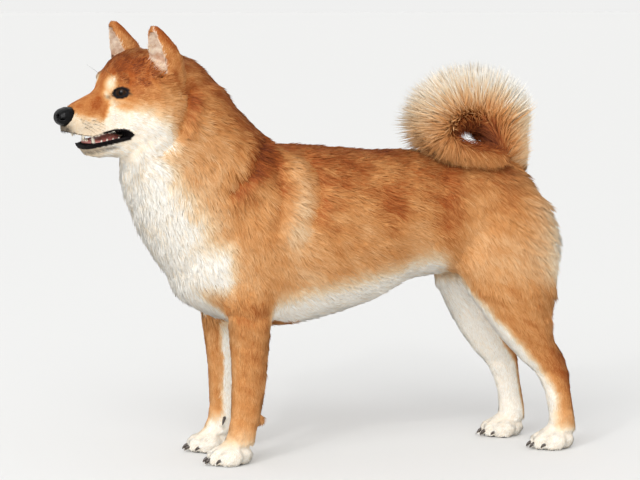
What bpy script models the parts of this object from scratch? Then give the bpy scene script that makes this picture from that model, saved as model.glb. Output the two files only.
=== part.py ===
"""A life-size shiba inu standing in profile, as one still model in named parts.

Metres, +Z up. The head points along -X, the dog's left side faces -Y, and the feet stand on Z = 0.
The withers are at X = 0 while the dog is built. The last step centres its outline on the origin.
"""

import math
import random
from typing import NamedTuple

import bmesh
import bpy
from mathutils import Matrix, Vector

# Driving dimensions of the whole dog
WITHERS_HEIGHT = 0.406
BACK_HEIGHT = 0.397
CROUP_HEIGHT = 0.391
BRISKET_HEIGHT = 0.170
FORE_TRACK = 0.050
HIND_TRACK = 0.055
FOREPAW = -0.1185
HINDPAW = 0.3190
NODE_GAP = 0.0003
LEFT, RIGHT = -1, 1

# The far legs stand a little ahead of the near ones
FAR_FORELEG_AHEAD = 0.004
FAR_HIND_LEG_AHEAD = 0.030

# Head: its own frame has x to the nose, y to the dog's left and z up, from the middle of the skull's back
HEAD_PIVOT = Vector((-0.170, 0.0, 0.470))
HEAD_TURN = math.radians(14)
HEAD_ROLL = math.radians(-3)
EYE_RADIUS = 0.0105
EYE_CENTRE = Vector((0.0797, 0.0264, 0.0060))
EYE_FACES = Vector((0.66, 0.74, 0.05))
EYE_OPENING = (0.0098, 0.0057)
EYE_SLANT = math.radians(10)
LID_THICKNESS = 0.0024
UPPER_LIP = (
    # x and height of the lip's edge, from the corner of the mouth forwards
    (0.0735, -0.0455),
    (0.0770, -0.0420),
    (0.0826, -0.0403),
    (0.0926, -0.0412),
    (0.1027, -0.0441),
    (0.1109, -0.0472),
    (0.1180, -0.0488),
    (0.1270, -0.0481),
    (0.1380, -0.0458),
    (0.1440, -0.0440),
)
LOWER_LIP = (
    (0.0740, -0.0475),
    (0.0804, -0.0497),
    (0.0918, -0.0527),
    (0.1010, -0.0549),
    (0.1096, -0.0568),
    (0.1145, -0.0580),
    (0.1185, -0.0588),
    (0.1225, -0.0590),
)
LIP_RADIUS = 0.0017
LIP_SETBACK = 0.0010
MOUTH_FRONT = 0.175
JAW_FRONT = 0.1262
BELOW_JAW = -0.085
HEAD_SPAN = 0.09
EAR_ROWS = (
    # height, x, y, half depth, half width
    (0.0060, 0.0288, 0.0500, 0.0195, 0.0175),
    (0.0300, 0.0310, 0.0505, 0.0232, 0.0205),
    (0.0500, 0.0335, 0.0505, 0.0222, 0.0205),
    (0.0640, 0.0390, 0.0520, 0.0178, 0.0165),
    (0.0740, 0.0442, 0.0535, 0.0140, 0.0125),
    (0.0830, 0.0488, 0.0545, 0.0096, 0.0085),
    (0.0892, 0.0520, 0.0550, 0.0048, 0.0045),
)
EAR_WALL = 0.0038
FAR_EAR_AHEAD = 0.0065
FAR_EAR_TURN = math.radians(18)

# Tail: a full curl over the croup that comes down on the dog's left. Its core is flesh and close underfur
TAIL_EYE = Vector((0.236, -0.028, 0.414))
TAIL_PATH = (
    # x, y, z, core radius, reach of the hair from the middle line
    (0.292, 0.000, 0.326, 0.0195, 0.021),
    (0.289, 0.002, 0.362, 0.0190, 0.025),
    (0.283, 0.005, 0.398, 0.0190, 0.030),
    (0.270, 0.007, 0.428, 0.0190, 0.045),
    (0.247, 0.004, 0.446, 0.0190, 0.053),
    (0.219, -0.006, 0.445, 0.0185, 0.057),
    (0.195, -0.020, 0.430, 0.0175, 0.056),
    (0.190, -0.034, 0.410, 0.0160, 0.038),
    (0.204, -0.043, 0.398, 0.0140, 0.028),
    (0.231, -0.048, 0.394, 0.0115, 0.024),
    (0.258, -0.050, 0.392, 0.0070, 0.020),
)
TAIL_LENGTHS = {
    # start and end along the tail, rows of locks
    "tail_root": (0.000, 0.315, 4),
    "tail_arch": (0.320, 0.675, 6),
    "tail_tip": (0.680, 1.000, 4),
}
TAIL_INNER = 0.0205
TAIL_GAP = 0.0010
CORE_SHARE = 0.15
CORE_RINGS_PER_TAIL = 22
# Degrees round the tail from the rim of the curl
LOCK_ANGLES = (-92, -48, -15, 18, 51, 94)
FAN = 0.50
LOCK_SWEEP = 0.30
LONGEST_REACH = 0.057
LOCK_WIDTH = 0.036
LOCK_THICKNESS = 0.0070
LOCK_BEND = 0.45
LOCK_SHAPE = ((0.0, 0.8), (0.50, 1.0), (0.82, 0.55))
LOCK_TIP = 0.18
LOCK_SEAT = 0.45
LOCK_SINK = 0.30
LOCK_STAGGER = (0.75, 0.25)
LOCK_SEED = 7

# Thin cuts that part the body: heights across the legs, and points and directions across the neck
ELBOW_CUT = 0.185
ELBOW_CUT_BACK = -0.0452
ELBOW_CUT_INNER = 0.0218
FORELEG_CUTS = (0.083, 0.0315)
THIGH_CUT = 0.217
HIND_LEG_CUTS = (0.105, 0.0290)
NECK_CUT = ((-0.163, 0.0, 0.447), (-0.55, 0.0, 0.835), 0.30)
SHOULDER_CUT = ((-0.118, 0.0, 0.339), (-0.69, 0.0, 0.725), 0.32)
JAW_CUT_CORNER = (0.0752, 0.0, -0.0452)
JAW_CUT_DOWN = (0.10, 0.0, -0.995)

# Mesh finish
RING_SIDES = 28
FORM_VOXEL = 0.0060
FORM_SMOOTHING = 16
SKIN_VOXEL = 0.0028
SKIN_SMOOTHING = 4
BODY_TRIANGLES = 4300
CREASE_ANGLE = math.radians(50)

CREAM_NODES = ("lower_jaw", "forepaw_left", "forepaw_right", "hindpaw_left", "hindpaw_right")

COLOURS = {
    "red_coat": (0.62, 0.27, 0.09, 1.0),
    "cream_coat": (0.86, 0.78, 0.66, 1.0),
    "black_skin": (0.015, 0.013, 0.014, 1.0),
    "eye": (0.02, 0.012, 0.008, 1.0),
    "tongue": (0.62, 0.25, 0.23, 1.0),
}
ROUGHNESS = {"red_coat": 0.8, "cream_coat": 0.8, "black_skin": 0.35, "eye": 0.08, "tongue": 0.4}


class Ring(NamedTuple):
    """One cross-section of the body: an oval set square to an axis in the dog's long plane."""

    x: float
    y: float
    z: float
    rise: float
    drop: float
    half_width: float
    pitch: float = 0.0
    squareness: float = 2.0


def trunk_ring(x, top, bottom, half_width, widest=0.5, squareness=2.2):
    """An upright section across the trunk or the head; widest is the height of its widest level."""
    middle = bottom + widest * (top - bottom)
    return Ring(x, 0.0, middle, top - middle, middle - bottom, half_width, 0.0, squareness)


def leg_ring(z, front, back, y, half_width, squareness=2.1):
    """A level section across a leg, from its front edge to its back edge."""
    half = (back - front) / 2
    return Ring((front + back) / 2, y, z, half, half, half_width, -90.0, squareness)


def between(rings, steps):
    """Rings on a smooth curve through the given ones, with so many steps from each to the next."""
    padded = [rings[0], *rings, rings[-1]]
    result = []
    for before, start, end, after in zip(padded, padded[1:], padded[2:], padded[3:]):
        for step in range(steps):
            t = step / steps
            result.append(Ring(*(spline(t, *four) for four in zip(before, start, end, after))))
    return [*result, rings[-1]]


def spline(t, before, start, end, after):
    """A Catmull-Rom curve from start to end."""
    bend = 2 * before - 5 * start + 4 * end - after
    twist = 3 * (start - end) + after - before
    return start + 0.5 * t * (end - before + t * (bend + t * twist))


def ring_points(ring, sides):
    """The points of a ring's outline."""
    pitch = math.radians(ring.pitch)
    lift = Vector((math.sin(pitch), 0.0, math.cos(pitch)))
    power = 2 / ring.squareness
    points = []
    for k in range(sides):
        across, up = math.cos(2 * math.pi * k / sides), math.sin(2 * math.pi * k / sides)
        across = math.copysign(abs(across) ** power, across) * ring.half_width
        up = math.copysign(abs(up) ** power, up) * (ring.rise if up > 0 else ring.drop)
        points.append(Vector((ring.x, ring.y + across, ring.z)) + lift * up)
    return points


def new_object(name, mesh, material="red_coat"):
    """A mesh object in the dog's collection."""
    mesh.materials.clear()
    mesh.materials.append(bpy.data.materials[material])
    made = bpy.data.objects.new(name, mesh)
    bpy.data.collections["shiba_inu"].objects.link(made)
    return made


def from_bmesh(name, bm, material="red_coat"):
    """A mesh object from a bmesh, with its faces pointing out."""
    bmesh.ops.recalc_face_normals(bm, faces=bm.faces)
    if bm.calc_volume(signed=True) < 0.0:
        bmesh.ops.reverse_faces(bm, faces=bm.faces)
    mesh = bpy.data.meshes.new(name)
    bm.to_mesh(mesh)
    bm.free()
    return new_object(name, mesh, material)


def loft(name, rings, steps=6, frame=None, sides=RING_SIDES):
    """A closed body through a row of rings."""
    bm = bmesh.new()
    loops = [[bm.verts.new(p) for p in ring_points(r, sides)] for r in between(rings, steps)]
    for near, far in zip(loops, loops[1:]):
        for k in range(sides):
            after = (k + 1) % sides
            bm.faces.new((near[k], near[after], far[after], far[k]))
    bm.faces.new(loops[0])
    bm.faces.new(loops[-1])
    if frame:
        bm.transform(frame)
    return from_bmesh(name, bm)


def ellipsoid(name, centre, radii, turn=None, frame=None, sides=20, rows=12):
    """A stretched ball, turned about its own centre."""
    bm = bmesh.new()
    bmesh.ops.create_uvsphere(bm, u_segments=sides, v_segments=rows, radius=1.0)
    placed = Matrix.Translation(centre) @ (turn or Matrix.Identity(4)) @ Matrix.Diagonal((*radii, 1.0))
    bm.transform((frame or Matrix.Identity(4)) @ placed)
    return from_bmesh(name, bm)


def cone(name, foot, tip, foot_radius, tip_radius, sides=8, frame=None):
    """A tapered peg from foot to tip."""
    foot, tip = Vector(foot), Vector(tip)
    bm = bmesh.new()
    bmesh.ops.create_cone(
        bm,
        cap_ends=True,
        segments=sides,
        radius1=foot_radius,
        radius2=tip_radius,
        depth=(tip - foot).length,
    )
    turn = (tip - foot).to_track_quat("Z", "Y").to_matrix().to_4x4()
    bm.transform((frame or Matrix.Identity(4)) @ Matrix.Translation((foot + tip) / 2) @ turn)
    return from_bmesh(name, bm)


def box(name, low, high, frame=None):
    """A box between two corners."""
    bm = bmesh.new()
    bmesh.ops.create_cube(bm, size=1.0)
    low, high = Vector(low), Vector(high)
    size = Matrix.Diagonal((*(high - low), 1.0))
    bm.transform((frame or Matrix.Identity(4)) @ Matrix.Translation((low + high) / 2) @ size)
    return from_bmesh(name, bm)


def slab(name, point, normal, size):
    """A sheet as thick as the gap between two nodes, square to normal."""
    turn = Vector(normal).to_track_quat("Z", "Y").to_matrix().to_4x4()
    half = size / 2
    frame = Matrix.Translation(Vector(point)) @ turn
    return box(name, (-half, -half, -NODE_GAP / 2), (half, half, NODE_GAP / 2), frame)


def bake(obj):
    """Replaces an object's mesh by what its modifiers make of it."""
    graph = bpy.context.evaluated_depsgraph_get()
    graph.update()
    mesh = bpy.data.meshes.new_from_object(obj.evaluated_get(graph))
    obj.modifiers.clear()
    obj.data = mesh
    return obj


def remove(objects):
    """Takes objects out of the scene."""
    for obj in list(objects):
        bpy.data.objects.remove(obj)


def combine(obj, others, operation, solver="MANIFOLD"):
    """One Boolean of obj with a collection of closed bodies, which are then removed."""
    tools = bpy.data.collections.new("tools")
    bpy.context.scene.collection.children.link(tools)
    for other in others:
        bpy.data.collections["shiba_inu"].objects.unlink(other)
        tools.objects.link(other)
    modifier = obj.modifiers.new("combine", "BOOLEAN")
    modifier.operation = operation
    modifier.operand_type = "COLLECTION"
    modifier.collection = tools
    modifier.solver = solver
    bake(obj)
    remove(others)
    bpy.data.collections.remove(tools)
    return obj


def join(name, objects):
    """Several bodies as the loose parts of one object."""
    bm = bmesh.new()
    for obj in objects:
        bm.from_mesh(obj.data)
    joined = from_bmesh(name, bm)
    remove(objects)
    return joined


def fuse(obj, voxel, smoothing):
    """Melts overlapping bodies into one even skin and smooths it."""
    remesh = obj.modifiers.new("fuse", "REMESH")
    remesh.mode = "VOXEL"
    remesh.voxel_size = voxel
    remesh.adaptivity = 0.0
    smooth = obj.modifiers.new("smooth", "SMOOTH")
    smooth.factor = 0.5
    smooth.iterations = smoothing
    return bake(obj)


def thin_out(obj, triangles):
    """Fewer triangles where the surface is flat."""
    bm = bmesh.new()
    bm.from_mesh(obj.data)
    bmesh.ops.triangulate(bm, faces=bm.faces)
    bm.to_mesh(obj.data)
    bm.free()
    decimate = obj.modifiers.new("thin_out", "DECIMATE")
    decimate.ratio = min(1.0, triangles / len(obj.data.polygons))
    return bake(obj)


def copy_of(obj, name):
    """A second object with its own mesh."""
    return new_object(name, obj.data.copy(), obj.data.materials[0].name)


def grown(obj, name, distance):
    """A copy with its surface moved out."""
    made = copy_of(obj, name)
    normals = [v.normal.copy() for v in made.data.vertices]
    for vertex, normal in zip(made.data.vertices, normals):
        vertex.co += normal * distance
    return made


def largest_only(obj):
    """Keeps an object's largest closed surface."""
    bm = bmesh.new()
    bm.from_mesh(obj.data)
    for surface in surfaces_of(bm)[1:]:
        bmesh.ops.delete(bm, geom=surface, context="FACES")
    bm.to_mesh(obj.data)
    bm.free()
    return obj


def surfaces_of(bm):
    """The faces of each surface, found by walking over shared edges, the largest surface first."""
    waiting, surfaces = set(bm.faces), []
    while waiting:
        stack = [waiting.pop()]
        surface = []
        while stack:
            face = stack.pop()
            surface.append(face)
            for edge in face.edges:
                for other in edge.link_faces:
                    if other in waiting:
                        waiting.remove(other)
                        stack.append(other)
        surfaces.append(surface)
    return sorted(surfaces, key=lambda surface: -size_of(surface))


def size_of(surface):
    """The diagonal of a surface's box."""
    points = [v.co for face in surface for v in face.verts]
    low, high = Vector(map(min, *points)), Vector(map(max, *points))
    return (high - low).length


def middle_of(surface):
    """The mean place of a surface's faces."""
    return sum((face.calc_center_median() for face in surface), Vector()) / len(surface)


def split(obj, groups, names):
    """Cuts an object by groups of thin slabs, and names each piece by the seed nearest to its middle."""
    for slabs in groups:
        combine(obj, slabs, "DIFFERENCE")
    whole = bmesh.new()
    whole.from_mesh(obj.data)
    surfaces = surfaces_of(whole)[: len(names)]
    middles = [middle_of(surface) for surface in surfaces]
    wanted = [{face.index for face in surface} for surface in surfaces]
    whole.free()
    made = {}
    for name, seed in names.items():
        nearest = min(range(len(surfaces)), key=lambda k: (middles[k] - Vector(seed)).length)
        bm = bmesh.new()
        bm.from_mesh(obj.data)
        others = [face for face in bm.faces if face.index not in wanted[nearest]]
        bmesh.ops.delete(bm, geom=others, context="FACES")
        made[name] = from_bmesh(name, bm, "cream_coat" if name in CREAM_NODES else "red_coat")
    remove([obj])
    return made


def head_frame():
    """From the head's own frame to the dog's."""
    forward = Vector((-math.cos(HEAD_TURN), -math.sin(HEAD_TURN), 0.0))
    up = Vector((0.0, 0.0, 1.0))
    left = up.cross(forward)
    basis = Matrix((forward, left, up)).transposed().to_4x4()
    return Matrix.Translation(HEAD_PIVOT) @ basis @ Matrix.Rotation(HEAD_ROLL, 4, "X")


def fore_leg_rings(side):
    """The foreleg's sections from the shoulder to the pastern. The far leg stands a little ahead."""
    y = side * FORE_TRACK
    rows = (
        # height, front edge, back edge, distance inwards, half width
        (0.290, -0.128, -0.030, 0.004, 0.036),
        (0.250, -0.125, -0.034, 0.002, 0.036),
        (0.215, -0.117, -0.044, 0.001, 0.032),
        (0.185, -0.109, -0.051, 0.000, 0.0265),
        (0.150, -0.1055, -0.0555, 0.000, 0.0215),
        (0.115, -0.104, -0.058, 0.000, 0.0190),
        (0.085, -0.1045, -0.0625, 0.000, 0.0180),
        (0.060, -0.1055, -0.067, 0.000, 0.0170),
        (0.042, -0.1085, -0.0715, 0.000, 0.0175),
        (0.026, -0.115, -0.074, 0.000, 0.0190),
    )
    rings = []
    for z, front, back, inward, half_width in rows:
        elbow_lead = 0.008 * max(0.0, 1 - abs(z - 0.18) / 0.12)
        ahead = FAR_FORELEG_AHEAD + elbow_lead if side == RIGHT else 0.0
        rings.append(leg_ring(z, front - ahead, back - ahead, y - side * inward, half_width))
    return rings


def hind_leg_rings(side):
    """The hind leg's sections from the hip to the hock and down to the foot. The far leg stands ahead."""
    y = side * HIND_TRACK
    shift = 0.0 if side == LEFT else -FAR_HIND_LEG_AHEAD
    rows = (
        # height, front edge, back edge, distance inwards, half width, share of the far leg's shift
        (0.335, 0.205, 0.325, 0.020, 0.040, 0.0),
        (0.290, 0.198, 0.340, 0.013, 0.043, 0.0),
        (0.250, 0.200, 0.341, 0.009, 0.042, 0.1),
        (0.215, 0.211, 0.336, 0.006, 0.037, 0.3),
        (0.180, 0.235, 0.330, 0.004, 0.030, 0.5),
        (0.150, 0.258, 0.331, 0.002, 0.0245, 0.7),
        (0.122, 0.284, 0.345, 0.001, 0.0195, 0.9),
        (0.102, 0.306, 0.352, 0.000, 0.0175, 1.0),
        (0.080, 0.3185, 0.3545, 0.000, 0.0160, 1.0),
        (0.055, 0.3255, 0.3590, 0.000, 0.0155, 1.0),
        (0.035, 0.3270, 0.3620, 0.000, 0.0170, 1.0),
        (0.024, 0.3240, 0.3620, 0.000, 0.0185, 1.0),
    )
    return [
        leg_ring(z, f + shift * share, b + shift * share, y - side * inward, w)
        for z, f, b, inward, w, share in rows
    ]


def toe_places(foot_x, foot_y):
    """Each toe's middle, its heading in degrees and its length. The inner two are longer."""
    for across, back, spread, length in (
        (-0.0185, 0.0095, -9, 0.0155),
        (-0.0070, 0.0, -2, 0.0180),
        (0.0070, 0.0, 2, 0.0180),
        (0.0185, 0.0095, 9, 0.0155),
    ):
        yield Vector((foot_x + back, foot_y + across, 0.0112)), spread, length


def paw_forms(name, foot_x, foot_y):
    """The toes, the pad behind them and the pastern's end, before they are melted together."""
    forms = []
    for k, (middle, spread, length) in enumerate(toe_places(foot_x, foot_y)):
        turn = Matrix.Rotation(math.radians(spread), 4, "Z") @ Matrix.Rotation(math.radians(-14), 4, "Y")
        forms.append(ellipsoid(f"{name}_toe_{k}", middle, (length, 0.0092, 0.0125), turn))
    forms.append(ellipsoid(f"{name}_pad", (foot_x + 0.0235, foot_y, 0.0120), (0.018, 0.0180, 0.0145)))
    forms.append(ellipsoid(f"{name}_knuckles", (foot_x + 0.0150, foot_y, 0.0195), (0.0185, 0.0165, 0.0110)))
    return forms


def paw_places():
    """The middle of each foot's long toes."""
    return {
        ("fore", LEFT): (FOREPAW, LEFT * FORE_TRACK),
        ("fore", RIGHT): (FOREPAW - FAR_FORELEG_AHEAD, RIGHT * FORE_TRACK),
        ("hind", LEFT): (HINDPAW, LEFT * HIND_TRACK),
        ("hind", RIGHT): (HINDPAW - FAR_HIND_LEG_AHEAD, RIGHT * HIND_TRACK),
    }


def trunk_form():
    """Chest, barrel, loin and croup."""
    rings = [
        trunk_ring(-0.176, 0.292, 0.236, 0.026),
        trunk_ring(-0.166, 0.322, 0.216, 0.050),
        trunk_ring(-0.138, 0.362, 0.194, 0.074),
        trunk_ring(-0.090, 0.394, 0.176, 0.087, 0.52),
        trunk_ring(-0.030, WITHERS_HEIGHT, BRISKET_HEIGHT, 0.090, 0.50),
        trunk_ring(0.030, 0.402, 0.180, 0.091, 0.52),
        trunk_ring(0.090, BACK_HEIGHT, 0.198, 0.086, 0.54),
        trunk_ring(0.145, 0.396, 0.224, 0.078, 0.55),
        trunk_ring(0.200, 0.393, 0.231, 0.076, 0.52),
        trunk_ring(0.260, CROUP_HEIGHT - 0.006, 0.235, 0.076, 0.48),
        trunk_ring(0.305, 0.362, 0.235, 0.064, 0.45),
        trunk_ring(0.334, 0.318, 0.245, 0.040, 0.45),
    ]
    return loft("trunk", rings)


def neck_form():
    """The neck rises from the chest and the withers to the skull."""
    rings = [
        Ring(-0.060, 0.0, 0.285, 0.115, 0.118, 0.082, 38.0, 2.2),
        Ring(-0.105, 0.0, 0.332, 0.104, 0.114, 0.085, 46.0, 2.2),
        Ring(-0.137, -0.001, 0.378, 0.0900, 0.106, 0.080, 52.0, 2.2),
        Ring(-0.157, -0.002, 0.416, 0.0795, 0.095, 0.075, 56.0, 2.2),
        Ring(-0.172, -0.004, 0.446, 0.0735, 0.079, 0.070, 58.0, 2.2),
        Ring(-0.188, -0.006, 0.466, 0.062, 0.062, 0.062, 60.0, 2.2),
    ]
    return loft("neck", rings)


def skull_forms(frame):
    """Skull, cheeks, brows, muzzle and lower jaw, in the head's own frame."""
    skull = [
        trunk_ring(-0.048, 0.026, -0.060, 0.048),
        trunk_ring(-0.022, 0.0465, -0.074, 0.062, 0.46),
        trunk_ring(0.010, 0.0560, -0.080, 0.070, 0.42, 2.3),
        trunk_ring(0.038, 0.0590, -0.080, 0.068, 0.41, 2.3),
        trunk_ring(0.058, 0.0575, -0.078, 0.057, 0.42, 2.3),
        trunk_ring(0.078, 0.0480, -0.070, 0.0415, 0.46, 2.3),
        trunk_ring(0.092, 0.0330, -0.066, 0.0320, 0.48, 2.2),
        trunk_ring(0.1035, 0.0090, -0.064, 0.0272, 0.44, 2.3),
        trunk_ring(0.117, 0.0004, -0.0640, 0.0252, 0.42, 2.6),
        trunk_ring(0.132, -0.0068, -0.0630, 0.0228, 0.42, 2.6),
        trunk_ring(0.1420, -0.0135, -0.0560, 0.0175, 0.46, 2.4),
        trunk_ring(0.1490, -0.0200, -0.0450, 0.0105),
    ]
    jaw = [
        trunk_ring(0.032, -0.045, -0.0790, 0.038),
        trunk_ring(0.062, -0.044, -0.0785, 0.033),
        trunk_ring(0.086, -0.043, -0.0772, 0.0275, 0.5, 2.4),
        trunk_ring(0.103, -0.045, -0.0765, 0.0225, 0.5, 2.4),
        trunk_ring(0.114, -0.046, -0.0740, 0.0172, 0.5, 2.4),
        trunk_ring(0.1220, -0.050, -0.0702, 0.0118, 0.5, 2.3),
        trunk_ring(0.1265, -0.056, -0.0655, 0.0062),
    ]
    forms = [loft("skull", skull, frame=frame), loft("jaw_form", jaw, frame=frame)]
    for side in (1, -1):
        brow, cheekbone = (0.0775, side * 0.0215, 0.0205), (0.0780, side * 0.0215, -0.0170)
        forms.append(ellipsoid("brow", brow, (0.0150, 0.0165, 0.0125), frame=frame))
        forms.append(ellipsoid("cheekbone", cheekbone, (0.027, 0.0165, 0.017), frame=frame))
    return forms


def whole_body(frame):
    """Every part of flesh melted into one skin, with the soles cut flat."""
    trunk = [trunk_form(), neck_form()]
    for side in (LEFT, RIGHT):
        trunk.append(loft("fore_top", fore_leg_rings(side)[:4]))
        trunk.append(loft("hind_top", hind_leg_rings(side)[:5]))
    forms = [fuse(join("trunk_mass", trunk), FORM_VOXEL, FORM_SMOOTHING), *skull_forms(frame)]
    for side in (LEFT, RIGHT):
        forms.append(loft("fore_leg", fore_leg_rings(side)[2:]))
        forms.append(loft("hind_leg", hind_leg_rings(side)[3:]))
    for (end, side), (x, y) in paw_places().items():
        forms.extend(paw_forms(f"{end}_{side}", x, y))
    body = fuse(join("body", forms), SKIN_VOXEL, SKIN_SMOOTHING)
    thin_out(body, BODY_TRIANGLES)
    return combine(body, [ground()], "DIFFERENCE")


def ground():
    """What is below the floor."""
    return box("ground", (-1.0, -1.0, -0.1), (1.0, 1.0, 0.0))


def facing(direction):
    """A turn that brings +Z to a direction in the head's frame and keeps +Y as near as it can to up."""
    z = Vector(direction).normalized()
    x = Vector((0.0, 0.0, 1.0)).cross(z).normalized()
    y = z.cross(x)
    return Matrix((x, y, z)).transposed().to_4x4()


def mirrored(vector, side):
    """A point of the left half of the head, or its twin on the right."""
    return Vector((vector[0], vector[1] * (1 if side == LEFT else -1), vector[2]))


def prism(name, outline, frame, low, high):
    """A closed outline drawn out along its own Z from low to high."""
    bm = bmesh.new()
    ends = [[bm.verts.new((x, y, z)) for x, y in outline] for z in (low, high)]
    count = len(outline)
    for k in range(count):
        after = (k + 1) % count
        bm.faces.new((ends[0][k], ends[0][after], ends[1][after], ends[1][k]))
    bm.faces.new(ends[0])
    bm.faces.new(ends[1])
    bm.transform(frame)
    return from_bmesh(name, bm)


def eye_outline(side):
    """The opening between the lids: an almond with its outer corner high and a steep inner end."""
    half_long, half_high = EYE_OPENING
    outward = 1 if side == LEFT else -1
    points = []
    for k in range(16):
        angle = 2 * math.pi * k / 16
        x = math.cos(angle)
        height = abs(math.sin(angle)) ** 1.25 * (1.0 + 0.22 * -x) * (1.08 if math.sin(angle) > 0 else 0.86)
        y = math.copysign(height, math.sin(angle))
        along, up = x * half_long, y * half_high
        slanted = (along * math.cos(EYE_SLANT) - up * math.sin(EYE_SLANT),
                   along * math.sin(EYE_SLANT) + up * math.cos(EYE_SLANT))
        points.append((outward * slanted[0], slanted[1]))
    return points


def mouth_wedge(frame):
    """What is cut away between the lips and ahead of the chin, as far back as the corners of the mouth."""
    front = [(MOUTH_FRONT, UPPER_LIP[-1][1]), (MOUTH_FRONT, BELOW_JAW)]
    chin = [(JAW_FRONT, BELOW_JAW), (JAW_FRONT, LOWER_LIP[-1][1])]
    outline = [*UPPER_LIP, *front, *chin, *reversed(LOWER_LIP)]
    upright = Matrix(((1, 0, 0, 0), (0, 0, -1, 0), (0, 1, 0, 0), (0, 0, 0, 1)))
    return prism("mouth_wedge", outline, frame @ upright, -0.06, 0.06)


def mouth_hollows(frame):
    """A trough in the lower jaw and another under the palate, inside the lips."""
    trough = [
        trunk_ring(0.0720, -0.0460, -0.0540, 0.0150),
        trunk_ring(0.0790, -0.0430, -0.0610, 0.0200, 0.6),
        trunk_ring(0.0920, -0.0440, -0.0660, 0.0212, 0.6, 2.6),
        trunk_ring(0.1100, -0.0470, -0.0680, 0.0175, 0.6, 2.6),
        trunk_ring(0.1180, -0.0500, -0.0660, 0.0110, 0.6, 2.4),
    ]
    palate = [
        trunk_ring(0.0790, -0.0350, -0.0470, 0.0190),
        trunk_ring(0.0940, -0.0320, -0.0480, 0.0225, 0.5, 2.6),
        trunk_ring(0.1150, -0.0370, -0.0560, 0.0205, 0.5, 2.6),
        trunk_ring(0.1330, -0.0390, -0.0540, 0.0145, 0.5, 2.4),
    ]
    return [loft("trough", trough, 2, frame, 16), loft("palate", palate, 2, frame, 16)]


def tongue_form(frame):
    """The tongue lies in the trough and shows over the lower lip."""
    rings = [
        trunk_ring(0.0750, -0.0490, -0.0530, 0.0120),
        trunk_ring(0.0830, -0.0470, -0.0590, 0.0170, 0.5),
        trunk_ring(0.0970, -0.0500, -0.0640, 0.0175, 0.5, 2.5),
        trunk_ring(0.1080, -0.0540, -0.0652, 0.0140, 0.5, 2.5),
        trunk_ring(0.1150, -0.0580, -0.0640, 0.0085, 0.5, 2.4),
    ]
    tongue = loft("tongue", rings, 2, frame, 14)
    tongue.data.materials[0] = bpy.data.materials["tongue"]
    return tongue


def teeth(frame):
    """Canines, small front teeth and the cheek teeth behind them, each sunk in the gum by its root."""
    rows = []
    for side in (1, -1):
        # root, tip, radius at the root, radius at the tip, sides
        rows.append(((0.1120, side * 0.0130, -0.0680), (0.1160, side * 0.0138, -0.0522), 0.0027, 0.0007, 7))
        rows.append(((0.1270, side * 0.0168, -0.0400), (0.1290, side * 0.0164, -0.0515), 0.0029, 0.0008, 7))
        for k in range(3):
            x, y = 0.1195 - 0.0014 * k, side * (0.0018 + 0.0034 * k)
            rows.append(((x, y, -0.0680), (x + 0.0008, y, -0.0568), 0.0016, 0.0010, 5))
            rows.append(((x + 0.0140, y, -0.0400), (x + 0.0142, y, -0.0470), 0.0017, 0.0010, 5))
        for k in range(3):
            x, y = 0.1040 - 0.0072 * k, side * (0.0182 + 0.0019 * k)
            above, out, below = x + 0.008, y + side * 0.0020, -0.0490 + 0.0018 * k
            rows.append(((x, y, -0.0660), (x, y, -0.0545 + 0.0012 * k), 0.0027, 0.0009, 5))
            rows.append(((above, out, -0.0380), (above, out - side * 0.0004, below), 0.0028, 0.0010, 5))
    return [cone("tooth", *row, frame) for row in rows]


def nose_form(frame):
    """The nose leather: a rounded block with two comma-shaped nostrils and a groove below them."""
    rings = [
        trunk_ring(0.1350, -0.0160, -0.0300, 0.0090),
        trunk_ring(0.1400, -0.0126, -0.0340, 0.0136, 0.55, 2.4),
        trunk_ring(0.1465, -0.0128, -0.0362, 0.0148, 0.58, 2.5),
        trunk_ring(0.1525, -0.0150, -0.0358, 0.0138, 0.58, 2.6),
        trunk_ring(0.1565, -0.0180, -0.0335, 0.0110, 0.55, 2.5),
        trunk_ring(0.1592, -0.0213, -0.0300, 0.0066, 0.55, 2.3),
    ]
    nose = loft("nose", rings, 1, frame, 14)
    cuts = [box("groove", (0.1562, -0.0005, -0.0400), (0.1700, 0.0005, -0.0262), frame)]
    for side in (1, -1):
        nostril, slit = (0.1583, side * 0.0056, -0.0234), (0.1550, side * 0.0114, -0.0270)
        turn = Matrix.Rotation(side * math.radians(52), 4, "Z")
        cuts.append(ellipsoid("nostril", nostril, (0.0060, 0.0029, 0.0027), None, frame, 10, 6))
        cuts.append(ellipsoid("slit", slit, (0.0062, 0.0042, 0.0011), turn, frame, 10, 6))
    combine(nose, cuts, "DIFFERENCE")
    largest_only(nose)
    nose.data.materials[0] = bpy.data.materials["black_skin"]
    return nose


def ear_rings(side, hollow=False):
    """Level sections of a pricked ear, or of the cup scooped out of its front."""
    rings = []
    for height, x, y, depth, half in EAR_ROWS:
        x += FAR_EAR_AHEAD if side == RIGHT else 0.0
        if hollow:
            x, y = x + 0.66 * depth, y + 0.0022
            depth, half = 0.74 * depth, max(0.0015, half - EAR_WALL)
        rings.append(Ring(x, y * -side, height, depth, depth, half, -90.0, 2.2))
    return rings


def ear_frame(side, frame):
    """The head's frame, turned about the far ear, which is pricked a little inwards."""
    if side == LEFT:
        return frame
    _, ahead, out, _, _ = EAR_ROWS[0]
    axis = Matrix.Translation((ahead + FAR_EAR_AHEAD, -out, 0.0))
    return frame @ axis @ Matrix.Rotation(FAR_EAR_TURN, 4, "Z") @ axis.inverted()


def ear_form(side, frame, body):
    """A pricked ear with a thick back and a cup that opens forwards, cut to sit on the skull."""
    name = "ear_left" if side == LEFT else "ear_right"
    placed = ear_frame(side, frame)
    ear = loft(name, ear_rings(side), 1, placed, 14)
    combine(ear, [ear_cup(side, placed)], "DIFFERENCE")
    combine(ear, [grown(body, "skull", NODE_GAP)], "DIFFERENCE")
    return largest_only(ear)


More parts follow.
